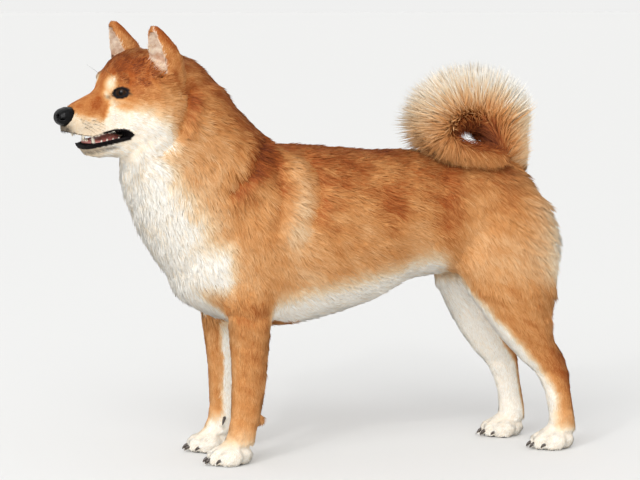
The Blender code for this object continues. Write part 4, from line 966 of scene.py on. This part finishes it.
def tail_lines():
    """Rows along the tail: its points, directions, the way out of the curl, radii and reaches."""
    rows = []
    for k in range(TAIL_SAMPLES + 1):
        t = k / TAIL_SAMPLES
        point, radius, reach = tail_at(t)
        ahead = (tail_at(min(t + 0.01, 1))[0] - tail_at(max(t - 0.01, 0))[0]).normalized()
        out = point - DOG @ TAIL_EYE
        out.y = 0.0
        out = (out - ahead * out.dot(ahead)).normalized()
        rows.append((*point, *ahead, *out, radius, reach))
    return np.array(rows)


TAIL = tail_lines()


def tail_share(points):
    """How far points are from the tail's middle line, and the row of the tail that is nearest."""
    distance = np.full(len(points), FAR_OFF)
    nearest = np.zeros(len(points), int)
    close = np.nonzero((points[:, 0] > 0.12) & (points[:, 2] > 0.30))[0]
    for start in range(0, len(close), CHUNK):
        part = close[start:start + CHUNK]
        away = ((points[part][:, None, :] - TAIL[None, :, :3]) ** 2).sum(axis=2)
        nearest[part] = away.argmin(axis=1)
        distance[part] = np.sqrt(away.min(axis=1))
    return distance, nearest


def float_values(mesh, name, values):
    """Stores one number for each point of a mesh."""
    numbers = np.asarray(values, dtype=np.float32)
    mesh.attributes.new(name, "FLOAT", "POINT").data.foreach_set("value", numbers)


def tail_tone(points, nearest):
    """Dark red inside the curl, deepened there by painted shade, red round the middle and orange on its outer
    side.
    """
    rows = TAIL[nearest]
    # Painted shade deepens the red coat on the inside of the curl.
    out = ((points - rows[:, :3]) * rows[:, 6:9]).sum(axis=1) / rows[:, 9]
    return 0.22 + 0.14 * np.clip(out, -1.2, 1.0)


def make_skin():
    """The one skin over the whole animal, with its markings."""
    skin = flesh_mass()
    remesh = skin.modifiers.new("melt", "REMESH")
    remesh.mode, remesh.voxel_size, remesh.adaptivity = "VOXEL", SKIN_VOXEL, 0.0
    bake(skin)
    sink_to_skin(skin)
    thin = skin.modifiers.new("thin_out", "DECIMATE")
    thin.ratio = min(1.0, SKIN_TRIANGLES / (2 * len(skin.data.polygons)))
    bake(skin)
    bm = bmesh.new()
    bm.from_mesh(skin.data)
    bmesh.ops.triangulate(bm, faces=bm.faces)
    bm.to_mesh(skin.data)
    bm.free()
    mesh = skin.data
    mesh.shade_smooth()
    points, normals = coords(mesh), point_normals(mesh)
    dog, head = seen_from(points, DOG), seen_from(points, HEAD)
    tone = markings(points, normals)
    # The soles lie on the floor and not under it.
    points[:, 2] = np.maximum(points[:, 2], 0.0)
    mesh.vertices.foreach_set("co", points.astype(np.float32).ravel())
    mesh.update()
    distance, nearest = tail_share(points)
    on_tail = distance < TAIL[nearest, 9] + 0.002
    tone[on_tail] = tail_tone(points, nearest)[on_tail]
    float_values(mesh, "tone", tone)
    float_values(mesh, "bare", in_ear_cup(head))
    soles = (1 - soft(dog[:, 2], 0.0010, 0.0035)) * (normals[:, 2] < -0.3)
    rims = soft(eye_spread(head), 1.28, 1.12)
    dark = np.maximum.reduce([soles, in_mouth(head) * 1.0, lip_band(head), rims, 0.8 * soot(head)])
    float_values(mesh, "dark_skin", dark)
    mesh.materials.clear()
    mesh.materials.append(haired_skin())
    return skin


def unwrap(skin):
    """Lays the skin out flat by its own shape, as the map that the tufts' patches are placed on."""
    bpy.context.view_layer.objects.active = skin
    skin.select_set(True)
    bpy.ops.object.mode_set(mode="EDIT")
    bpy.ops.mesh.select_all(action="SELECT")
    bpy.ops.uv.smart_project(angle_limit=math.radians(72), island_margin=0.001)
    bpy.ops.object.mode_set(mode="OBJECT")
    skin.data.uv_layers[0].name = "OFBake"


def skin_samples(skin, count, weight_of):
    """Random roots on the skin: places, directions out of it and places on its flat map."""
    mesh = skin.data
    points, normals = coords(mesh), point_normals(mesh)
    corners = np.empty(len(mesh.polygons) * 3, dtype=np.int32)
    mesh.loops.foreach_get("vertex_index", corners)
    corners = corners.reshape(-1, 3)
    flat = np.empty(len(mesh.loops) * 2)
    mesh.uv_layers["OFBake"].data.foreach_get("uv", flat)
    flat = flat.reshape(-1, 3, 2)
    a, b, c = (points[corners[:, k]] for k in range(3))
    area = 0.5 * np.linalg.norm(np.cross(b - a, c - a), axis=1)
    share = np.cumsum(area * weight_of((a + b + c) / 3, normals[corners[:, 0]]))
    chosen = np.searchsorted(share, rng.uniform(0, share[-1], count))
    u, v = rng.uniform(size=count), rng.uniform(size=count)
    flip = u + v > 1
    u[flip], v[flip] = 1 - u[flip], 1 - v[flip]
    mix = np.stack((1 - u - v, u, v), axis=1)
    place = (points[corners[chosen]] * mix[:, :, None]).sum(axis=1)
    out = unit((normals[corners[chosen]] * mix[:, :, None]).sum(axis=1))
    uv = (flat[chosen] * mix[:, :, None]).sum(axis=1)
    return place, out, uv


def tufts(name, place, out, rise, late, length, width, uv, tones, sooty, shading, material):
    """A coat piece: each tuft is a slim closed wedge that leaves the skin along rise and bends to late.

    The tufts are shaded by the direction of the skin that they grow from, so that the coat reads as one
    soft surface.
    """
    count = len(place)
    side = unit(np.cross(out, rise))
    size, half = length[:, None], width[:, None] / 2
    root = place - out * ROOT_DEPTH
    middle = root + rise * size * BEND_AT + out * half * 0.5
    tip = middle + late * size * 0.58
    verts = np.stack((root, middle - side * half, middle + side * half, tip), axis=1)
    verts[:, :, 2] = np.maximum(verts[:, :, 2], LOWEST_HAIR)
    faces = np.array(((0, 1, 2), (3, 2, 1), (0, 3, 1), (0, 2, 3)))
    index = (faces[None] + 4 * np.arange(count)[:, None, None]).reshape(-1)
    mesh = bpy.data.meshes.new(name)
    mesh.vertices.add(count * 4)
    mesh.vertices.foreach_set("co", verts.reshape(-1))
    mesh.loops.add(count * 12)
    mesh.loops.foreach_set("vertex_index", index.astype(np.int32))
    mesh.polygons.add(count * 4)
    mesh.polygons.foreach_set("loop_start", (np.arange(count * 4) * 3).astype(np.int32))
    mesh.update(calc_edges=True)
    mesh.shade_smooth()
    along = np.tile((0.0, BEND_AT, BEND_AT, 1.0), count)
    across = np.tile((0.0, -0.5, 0.5, 0.0), count)
    normals = np.repeat(shading, 4, axis=0)
    normals = normals + np.repeat(side, 4, axis=0) * (across * 2 * SIDE_SHADE)[:, None]
    normals += np.repeat(rise, 4, axis=0) * (along * TIP_SHADE)[:, None]
    mesh.attributes.new("custom_normal", "FLOAT_VECTOR", "POINT").data.foreach_set(
        "vector", unit(normals).astype(np.float32).reshape(-1))
    root_tone, tip_tone = tones
    float_values(mesh, "along", along)
    float_values(mesh, "tuft", np.repeat(rng.uniform(size=count), 4))
    float_values(mesh, "tone", np.repeat(root_tone, 4) + np.repeat(tip_tone - root_tone, 4) * along)
    float_values(mesh, "soot", np.repeat(sooty, 4))
    spots = np.repeat(uv, 4, axis=0) + np.stack((across, along - 0.5), axis=1) * BAKE_PATCH
    mesh.uv_layers.new(name="OFBake").data.foreach_set("uv", spots[index].astype(np.float32).reshape(-1))
    mesh.materials.append(material)
    made = bpy.data.objects.new(name, mesh)
    bpy.context.scene.collection.objects.link(made)
    return made


def coat_density(points, _):
    """How thickly tufts grow: more where they are small, none in the mouth, on the lips or under the feet."""
    dog, head = seen_from(points, DOG), seen_from(points, HEAD)
    _, length, width, _ = lie_of_coat(points)
    layers = np.interp(length, (0.003, 0.007, 0.016, 0.025), (1.8, 2.6, 5.0, 6.5))
    density = layers / (length * width)
    density *= ~in_mouth(head)
    density *= 1 - 0.80 * in_ear_cup(head)
    density *= dog[:, 2] > 0.0025
    density *= (eye_spread(head) > 1.13) & (lip_band(head) < 0.5)
    distance, nearest = tail_share(points)
    density *= distance > TAIL[nearest, 9] * TAIL_CORE + 0.001
    return density


def combed_round_eyes(place, head, heading):
    """Turns the hair beside the eyes so that it grows away from the lids."""
    for side in (LEFT, RIGHT):
        away = place - np.array(HEAD @ mirrored(EYE_CENTRE, side))
        reach = np.linalg.norm(away, axis=1)
        near = np.exp(-((reach / 0.017) ** 4)) * (head[:, 1] * -side > 0)
        heading = heading + unit(away) * (near * 2.5)[:, None]
    return heading


# Each piece's name, and the test of a place in the dog's and the head's frame. A tuft goes to the first
# piece that fits.
COAT_PIECES = (
    ("coat_head_left", lambda d, h: (h[:, 0] > 0.0) & (h[:, 1] > 0) & (d[:, 2] > 0.37)),
    ("coat_head_right", lambda d, h: (h[:, 0] > 0.0) & (h[:, 1] <= 0) & (d[:, 2] > 0.37)),
    ("coat_forelegs", lambda d, h: (d[:, 2] < 0.19) & (d[:, 0] < -0.02)),
    ("coat_left_hind_leg", lambda d, h: (d[:, 2] < 0.215) & (d[:, 0] > 0.16) & (d[:, 1] < 0)),
    ("coat_right_hind_leg", lambda d, h: (d[:, 2] < 0.215) & (d[:, 0] > 0.16)),
    ("coat_neck", lambda d, h: d[:, 0] < -0.115),
    ("coat_shoulders", lambda d, h: d[:, 0] < -0.02),
    ("coat_ribs", lambda d, h: d[:, 0] < 0.13),
    ("coat_left_haunch", lambda d, h: d[:, 1] < 0),
    ("coat_right_haunch", lambda d, h: d[:, 1] >= 0),
)


def make_coat(skin, hair):
    """The coat but for the tail: tufts over the whole skin, along its lie, in pieces named for regions."""
    count = COAT_TUFTS
    place, out, uv = skin_samples(skin, count, coat_density)
    heading, length, width, lean = lie_of_coat(place)
    dog, head = seen_from(place, DOG), seen_from(place, HEAD)
    heading = combed_round_eyes(place, head, heading)
    sway = 0.16 * ripple(place, 30, 21) + 0.12 * ripple(place, 11, 22) + rng.normal(0, 0.11, count)
    heading = heading + np.cross(out, heading) * sway[:, None]
    heading = unit(heading - out * (heading * out).sum(axis=1, keepdims=True))
    lean = lean * np.clip(1 + 0.16 * ripple(place, 15, 23) + rng.normal(0, 0.18, count), 0.4, 1.7)
    lean = lean * np.interp(length, (0.008, 0.020), (1.0, 1.25))
    length = length * np.interp(length, (0.008, 0.020), (0.95, 0.74))
    length = length * np.clip(rng.normal(1.0, 0.16, count), 0.6, 1.4)
    width = width * rng.uniform(0.62, 1.02, count) * 1.0
    tone = markings(place, out) + 0.03 * ripple(place, 8, 24)
    tone[in_ear_cup(head) > 0.4] = 0.84
    temple = blob(as_left(head), (0.070, 0.032, 0.034), (0.034, 0.036, 0.026))
    speckled = (rng.uniform(size=count) < 0.42) & (tone < 0.55) & (in_ear_cup(head) < 0.2)
    tone -= 0.24 * speckled * soft(temple, 0.15, 0.75)
    sooty = soot(head) * (head[:, 0] > 0.05)
    rise = heading * np.cos(lean)[:, None] + out * np.sin(lean)[:, None]
    late = heading * np.cos(lean * 0.45)[:, None] + out * np.sin(lean * 0.45)[:, None]
    left = np.ones(count, bool)
    for name, test in COAT_PIECES:
        here = left & test(dog, head)
        left &= ~here
        made = tufts(name, place[here], out[here], rise[here], late[here], length[here], width[here],
                     uv[here], (tone[here] - 0.04, tone[here] + 0.03), sooty[here], out[here], hair)
        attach(made, "root")


def make_tail_coat(skin, hair):
    """The plume of the tail: long tufts that fan out of the curl, dark at its eye and at their roots, partly
    dark red coat and partly painted shade, and cream at its rim.
    """
    count = TAIL_TUFTS

    def on_tail(points, normals):
        distance, nearest = tail_share(points)
        rows = TAIL[nearest]
        outward = (normals * rows[:, 6:9]).sum(axis=1)
        return (distance < rows[:, 9] * TAIL_CORE + 0.002) * (1.0 + 0.8 * outward)

    place, out, uv = skin_samples(skin, count, on_tail)
    _, nearest = tail_share(place)
    rows = TAIL[nearest]
    ahead, away = rows[:, 3:6], rows[:, 6:9]
    outward = (out * away).sum(axis=1)
    outer = soft(outward, -0.75, 0.0)
    core = rows[:, 9] * TAIL_CORE
    share = nearest / (TAIL_SAMPLES - 1)
    inner = np.interp(share, (0.0, 0.1, 0.2, 0.3, 0.4, 0.5, 0.6, 0.7, 0.8, 1.0),
                      (0.010, 0.016, 0.025, 0.028, 0.025, 0.022, 0.015, 0.009, 0.007, 0.006))
    length = inner + (rows[:, 10] - core * soft(outward, -0.2, 0.9) - inner) * outer
    fullest = blob(np.c_[share, share, share], (0.27, 0.27, 0.27), 0.17)
    length *= np.clip(rng.normal(0.98, 0.17, count), 0.5, 1.30) * (1 + 0.30 * fullest)
    loose = 0.19 * rng.normal(size=(count, 3)) * (0.35 + 0.65 * outer)[:, None]
    rise = unit(away * (0.95 * outer)[:, None] + ahead * 0.45 + out * (0.75 - 0.25 * outer)[:, None] + loose)
    late = unit(rise + away * (0.25 * outer)[:, None] + ahead * 0.12)
    # Painted shade: the tufts' roots and the hair inside the curl are darkened, over the curl's own dark red.
    deep = 0.06 + 0.27 * outer + rng.normal(0, 0.025, count)
    rim = 0.66 + 0.40 * np.clip(away[:, 2] * 1.5, -0.3, 1) + 0.12 * away[:, 0]
    fringe = np.maximum(soft(rows[:, 10], 0.022, 0.045), 0.9 * soft(share, 0.42, 0.30))
    rim = 0.32 + (rim - 0.32) * fringe
    pale = 0.08 + (rim - 0.08) * outer + rng.normal(0, 0.06, count)
    # Light gets through the plume from behind, so its far side is shaded as if it faced up and out.
    shading = unit(out * np.array((1.0, 0.8, 1.0)) + away * 0.35 + np.array((0.0, -0.6, 0.3)))
    width = np.full(count, TAIL_TUFT_WIDTH)
    made = tufts("coat_tail", place, out, rise, late, length, width, uv, (deep, pale), np.zeros(count),
                 shading, hair)
    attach(made, "root")
    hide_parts("tail_root", "tail_arch", "tail_tip")


def eye_outline(side, scale):
    """The opening between the lids, its outer corner high and its inner end steep."""
    half_long, half_high = EYE_OPENING
    outward = -side
    for k in range(LID_POINTS):
        angle = 2 * math.pi * k / LID_POINTS
        x = math.cos(angle)
        height = abs(math.sin(angle)) ** 1.25 * (1.0 - 0.22 * x) * (1.08 if math.sin(angle) > 0 else 0.86)
        along, up = x * half_long * scale, math.copysign(height, math.sin(angle)) * half_high * scale
        yield (outward * (along * math.cos(EYE_SLANT) - up * math.sin(EYE_SLANT)),
               along * math.sin(EYE_SLANT) + up * math.cos(EYE_SLANT))


# Out beside the head, where a line is cast from to find the face.
BESIDE_HEAD = 0.09
LID_POINTS = 40
# Share of the opening, and how far the lid stands proud of the eyeball there, in millimetres.
LID_RINGS = (
    (0.86, -1.2), (0.93, 0.05), (0.97, 0.45), (1.02, 0.80),
    (1.08, 0.95), (1.14, 0.70), (1.22, 0.0), (1.30, -1.0),
)


def make_lids(side, material):
    """Eye rims: a rounded black edge round the opening, drawn out from the outline ring by ring."""
    bm = bmesh.new()
    placed = eye_frame(side)
    ring = bmesh.ops.create_circle(bm, cap_ends=False, segments=LID_POINTS, radius=1.0)["verts"]
    edges = list(bm.edges)
    for k, (share, proud) in enumerate(LID_RINGS):
        if k:
            fresh, edges = far_rim(bmesh.ops.extrude_edge_only(bm, edges=edges)["geom"])
            fresh = set(fresh)
            ring = [next(e.other_vert(v) for e in v.link_edges if e.other_vert(v) in fresh) for v in ring]
        radius = EYE_RADIUS + proud * 0.001
        for vertex, (x, y) in zip(ring, eye_outline(side, share)):
            vertex.co = placed @ Vector((x, y, math.sqrt(max(radius ** 2 - x * x - y * y, 0.0))))
    lids = piece("eye_rims_left" if side == LEFT else "eye_rims_right", bm, material)
    solid = lids.modifiers.new("thickness", "SOLIDIFY")
    solid.thickness, solid.offset = 0.0005, -1.0
    bake(lids)
    return lids


def make_eye(side, parts):
    """The eyeball, with pupil, iris and white as rings round the gaze and a cornea that bulges."""
    bm = bmesh.new()
    bmesh.ops.create_uvsphere(bm, u_segments=48, v_segments=60, radius=EYE_RADIUS)
    for face in bm.faces:
        middle = face.calc_center_median()
        angle = math.degrees(math.acos(max(-1.0, min(1.0, middle.z / middle.length))))
        face.material_index = (angle >= PUPIL_TO) + (angle >= IRIS_TO)
    for vertex in bm.verts:
        angle = math.acos(max(-1.0, min(1.0, vertex.co.z / EYE_RADIUS)))
        if angle < CORNEA_TO:
            vertex.co *= 1 + CORNEA_BULGE * (math.cos(angle / CORNEA_TO * math.pi) + 1) / 2
    bm.transform(eye_frame(side))
    eye = piece("eyeball_left" if side == LEFT else "eyeball_right", bm, *parts)
    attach(eye, "root")
    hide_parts("eye_left" if side == LEFT else "eye_right")


def refined(node_name, name, voxel, smoothing, material):
    """A finer, smoother twin of a small solid, which it replaces."""
    bm = bmesh.new()
    bm.from_mesh(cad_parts[node_name].data)
    bmesh.ops.remove_doubles(bm, verts=bm.verts, dist=MERGE)
    made = piece(name, bm)
    remesh = made.modifiers.new("melt", "REMESH")
    remesh.mode, remesh.voxel_size = "VOXEL", voxel
    smooth = made.modifiers.new("smooth", "SMOOTH")
    smooth.factor, smooth.iterations = 0.5, smoothing
    bake(made)
    made.data.materials.clear()
    made.data.materials.append(material)
    made.data.shade_smooth()
    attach(made, "root")
    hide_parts(node_name)
    return made


def tree_of(obj):
    """A search tree of an object's surface."""
    bm = bmesh.new()
    bm.from_mesh(obj.data)
    tree = BVHTree.FromBMesh(bm)
    bm.free()
    return tree


def lip_places(tree, side, line, drop, radii):
    """Points where a line seen from the side meets the face, moved by drop, each with its radius."""
    places = []
    reach = -side * BESIDE_HEAD
    for k, (x, z) in enumerate(line):
        start = HEAD @ Vector((x, reach, z + drop))
        aim = (HEAD @ Vector((x, 0.0, z + drop)) - start).normalized()
        hit, _, _, _ = tree.ray_cast(start, aim, 2 * BESIDE_HEAD)
        if hit:
            share = k / (len(line) - 1)
            places.append((hit + aim * 0.0004, radii[0] + (radii[1] - radii[0]) * share))
    return places


def make_lips(skin, material):
    """The rounded edges of the lips: the lower one runs right round the front of the jaw."""
    tree = tree_of(skin)
    bm = bmesh.new()
    lower = [lip_places(tree, side, LOWER_LIP[:6], -0.0012, (0.0020, 0.0019)) for side in (LEFT, RIGHT)]
    front = []
    for turn in (65, 40, 0, -40, -65):
        angle = math.radians(turn)
        spot = HEAD @ Vector((0.1145 + 0.0112 * math.cos(angle), 0.0128 * math.sin(angle), -0.0595))
        front.append((spot, 0.0019))
    swept(bm, [*lower[0], *front, *reversed(lower[1])], 10, 0.9)
    for side in (LEFT, RIGHT):
        swept(bm, lip_places(tree, side, UPPER_LIP[:9], 0.0008, (0.0018, 0.0009)), 8, 0.8)
    lips = piece("lips", bm, material)
    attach(lips, "root")


def make_gums(material):
    """The pink gum behind the lower lip, which the front teeth stand in."""
    bm = bmesh.new()
    shape = ((0.0880, 0.0190, -0.0545), (0.1000, 0.0165, -0.0568), (0.1100, 0.0135, -0.0572),
             (0.1165, 0.0090, -0.0572), (0.1195, 0.0, -0.0570))
    left = [(HEAD @ Vector((x, y, z)), 0.0034) for x, y, z in shape]
    right = [(HEAD @ Vector((x, -y, z)), 0.0034) for x, y, z in reversed(shape[:-1])]
    swept(bm, [*left, *right], 10)
    gums = piece("gums", bm, material)
    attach(gums, "root")


def make_teeth(material):
    """Canines, small front teeth and cheek teeth, drawn up from the gums."""
    bm = bmesh.new()
    for side in (1, -1):
        tooth(bm, (0.1125, side * 0.0140, -0.0590), (0.1150, side * 0.0150, -0.0540),
              (0.1158, side * 0.0148, -0.0475), 0.0025)
        tooth(bm, (0.1270, side * 0.0168, -0.0430), (0.1290, side * 0.0172, -0.0475),
              (0.1285, side * 0.0164, -0.0515), 0.0024)
        for k in range(3):
            x, y = 0.1205 - 0.0010 * k, side * (0.0016 + 0.0031 * k)
            tooth(bm, (x, y, -0.0570), (x + 0.0006, y, -0.0550), (x + 0.0008, y, -0.0522), 0.0014)
        for k in range(4):
            x, y = 0.1040 - 0.0072 * k, side * (0.0172 + 0.0016 * k)
            tooth(bm, (x, y, -0.0580), (x, y, -0.0555 + 0.001 * k), (x, y, -0.0530 + 0.0012 * k), 0.0021)
            above = x + 0.008
            tooth(bm, (above, y, -0.0400), (above, y, -0.0430), (above, y, -0.0465 + 0.0014 * k), 0.0022)
    teeth = piece("teeth", bm, material)
    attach(teeth, "root")


def tooth(bm, root, middle, tip, radius):
    """One tooth of the head, thick at the gum and blunt at its point."""
    root, middle, tip = (HEAD @ Vector(p) for p in (root, middle, tip))
    shape = ((0.0, 1.0), (0.35, 0.95), (0.65, 0.70), (0.90, 0.36), (1.0, 0.12))
    swept(bm, [(bezier_like(root, middle, tip, share), radius * part) for share, part in shape], 8)


def toe_places(foot_x, foot_y):
    """Each toe's middle, its heading in degrees and its length."""
    for across, back, spread, length in ((-0.0185, 0.0095, -9, 0.0155), (-0.0070, 0.0, -2, 0.0180),
                                         (0.0070, 0.0, 2, 0.0180), (0.0185, 0.0095, 9, 0.0155)):
        yield Vector((foot_x + back, foot_y + across, 0.0112)), spread, length


# The middle of each foot in the dog's frame: left and right fore, left and right hind.
FEET = ((-0.1185, -0.050), (-0.1225, 0.050), (0.3190, -0.055), (0.2890, 0.055))


def make_claws(material):
    """A curved claw on every toe and a dewclaw inside each wrist."""
    bm = bmesh.new()
    for x, y in FEET:
        for middle, spread, length in toe_places(x, y):
            heading = Matrix.Rotation(math.radians(spread), 3, "Z") @ Vector((-1, 0, 0))
            root = middle + heading * (length - 0.0070) + Vector((0, 0, -0.0022))
            bend = middle + heading * (length + 0.0022) + Vector((0, 0, -0.0030))
            tip = middle + heading * (length + 0.0042) + Vector((0, 0, -0.0082))
            claw(bm, root, bend, tip, 0.0025)
    for side, ahead in ((LEFT, 0.0), (RIGHT, -0.004)):
        y = side * 0.050
        root = Vector((-0.087 + ahead, y - side * 0.0120, 0.0480))
        bend = Vector((-0.091 + ahead, y - side * 0.0200, 0.0440))
        tip = Vector((-0.093 + ahead, y - side * 0.0205, 0.0365))
        claw(bm, root, bend, tip, 0.0024)
    claws = piece("claws", bm, material)
    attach(claws, "root")


def claw(bm, root, bend, tip, radius):
    """One claw, from a thick root to a blunt point."""
    root, bend, tip = (DOG @ p for p in (root, bend, tip))
    shape = ((0.0, 1.0), (0.3, 1.0), (0.55, 0.82), (0.8, 0.52), (1.0, 0.18))
    swept(bm, [(bezier_like(root, bend, tip, share), radius * part) for share, part in shape], 8)


def make_whiskers(skin, material):
    """Stiff whiskers in rows on the muzzle and one over each eye."""
    tree = tree_of(skin)
    bm = bmesh.new()
    for side in (LEFT, RIGHT):
        out = -side * BESIDE_HEAD
        for k, (x, z) in enumerate(whisker_places()):
            start = HEAD @ Vector((x, out, z))
            aim = (HEAD @ Vector((x, 0.0, z)) - start).normalized()
            hit, normal, _, _ = tree.ray_cast(start, aim, 2 * BESIDE_HEAD)
            if hit and k % 2 == 0:
                back = (HEAD.to_3x3() @ Vector((-1.0, 0.0, -0.30 - 0.03 * (k % 5)))).normalized()
                whisker(bm, hit, normal * 0.45 + back * 0.9, 0.014 + 0.003 * (k % 5))
        root = HEAD @ Vector((0.0905, out * 0.22, 0.0260))
        hit, normal, _, _ = tree.find_nearest(root)
        ahead = (HEAD.to_3x3() @ Vector((0.75, 0.0, 0.70))).normalized()
        whisker(bm, hit, normal * 0.5 + ahead, 0.015)
    whiskers = piece("whiskers", bm, material)
    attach(whiskers, "root")


def whisker(bm, root, heading, length):
    """One whisker, stiff at its root and drooping to a fine end."""
    bend = root + heading * length * 0.5
    tip = root + heading * length + Vector((0, 0, -0.18 * length))
    shape = ((0.0, 0.00016), (0.3, 0.00014), (0.6, 0.00010), (0.85, 0.00007), (1.0, 0.00004))
    swept(bm, [(bezier_like(root - heading * 0.001, bend, tip, s), r) for s, r in shape], 4)


def lamp(name, kind, power):
    """A light in the scene."""
    light = bpy.data.lights.new(name, kind)
    light.energy = power
    made = bpy.data.objects.new(name, light)
    bpy.context.scene.collection.objects.link(made)
    return made


def make_stage():
    """A pale floor, an even white studio with a soft key light, and the photograph's viewpoint."""
    bm = bmesh.new()
    bmesh.ops.create_grid(bm, x_segments=2, y_segments=2, size=150.0)
    piece("studio_floor", bm, studio_paper())
    world = bpy.data.worlds.new("studio")
    bpy.context.scene.world = world
    world.use_nodes = True
    # White walls all round, under a dimmer ceiling.
    place = node(world.node_tree, "ShaderNodeTexCoord")
    split = node(world.node_tree, "ShaderNodeSeparateXYZ", links={"Vector": (place, "Generated")})
    walls = node(world.node_tree, "ShaderNodeValToRGB", links={"Fac": (split, "Z")})
    wall, ceiling = walls.color_ramp.elements
    wall.position, wall.color = 0.20, colour("#F0F0EF")
    ceiling.position, ceiling.color = 0.75, colour("#E9E9E9")
    background = world.node_tree.nodes["Background"]
    world.node_tree.links.new(walls.outputs["Color"], background.inputs["Color"])
    sun = lamp("key_light", "SUN", 2.1)
    sun.data.angle = KEY_LIGHT_SPREAD
    sun.rotation_euler = Vector(KEY_LIGHT_WAY).to_track_quat("-Z", "Y").to_euler()
    # Two lamps stand at one place. Only wet and polished things see the broad one, as the eye's bright point.
    for name, size, power in (("glint_light", 0.14, 12.0), ("eye_light", 0.9, 70.0)):
        made = lamp(name, "AREA", power)
        made.data.size = size
        made.location = LAMP_PLACE
        made.rotation_euler = (Vector(LAMP_TARGET) - made.location).to_track_quat("-Z", "Y").to_euler()
        made.visible_diffuse = name != "eye_light"
    camera = bpy.data.objects.new("camera", bpy.data.cameras.new("camera"))
    camera.data.sensor_width = 36.0
    camera.data.lens = CAMERA_LENS
    camera.location = DOG @ Vector(CAMERA_PLACE)
    target = DOG @ Vector(CAMERA_TARGET)
    camera.rotation_euler = (target - camera.location).to_track_quat("-Z", "Y").to_euler()
    bpy.context.scene.collection.objects.link(camera)
    bpy.context.scene.camera = camera
    bpy.context.scene.view_settings.view_transform = "Standard"


def main():
    """Builds the dog's looks round its frame."""
    hair, lip = hair_of_coat(), lip_skin()
    skin = make_skin()
    unwrap(skin)
    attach(skin, "root")
    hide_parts(*FLESH)
    make_coat(skin, hair)
    make_tail_coat(skin, hair)
    parts = (eye_part("eye_pupil", "#020202", "#050404", 300.0),
             eye_part("eye_iris", "#120904", "#35200F", 900.0),
             eye_part("eye_white", "#2A1D16", "#4A382E", 400.0))
    for side in (LEFT, RIGHT):
        make_eye(side, parts)
        lids = make_lids(side, lip)
        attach(lids, "root")
    refined("nose", "nose_leather", 0.0007, 2, nose_leather())
    flesh = wet_tongue()
    refined("tongue", "tongue_flesh", 0.0009, 3, flesh)
    make_lips(skin, lip)
    make_gums(flesh)
    make_teeth(tooth_enamel())
    make_claws(claw_horn())
    make_whiskers(skin, claw_horn())
    make_stage()


main()
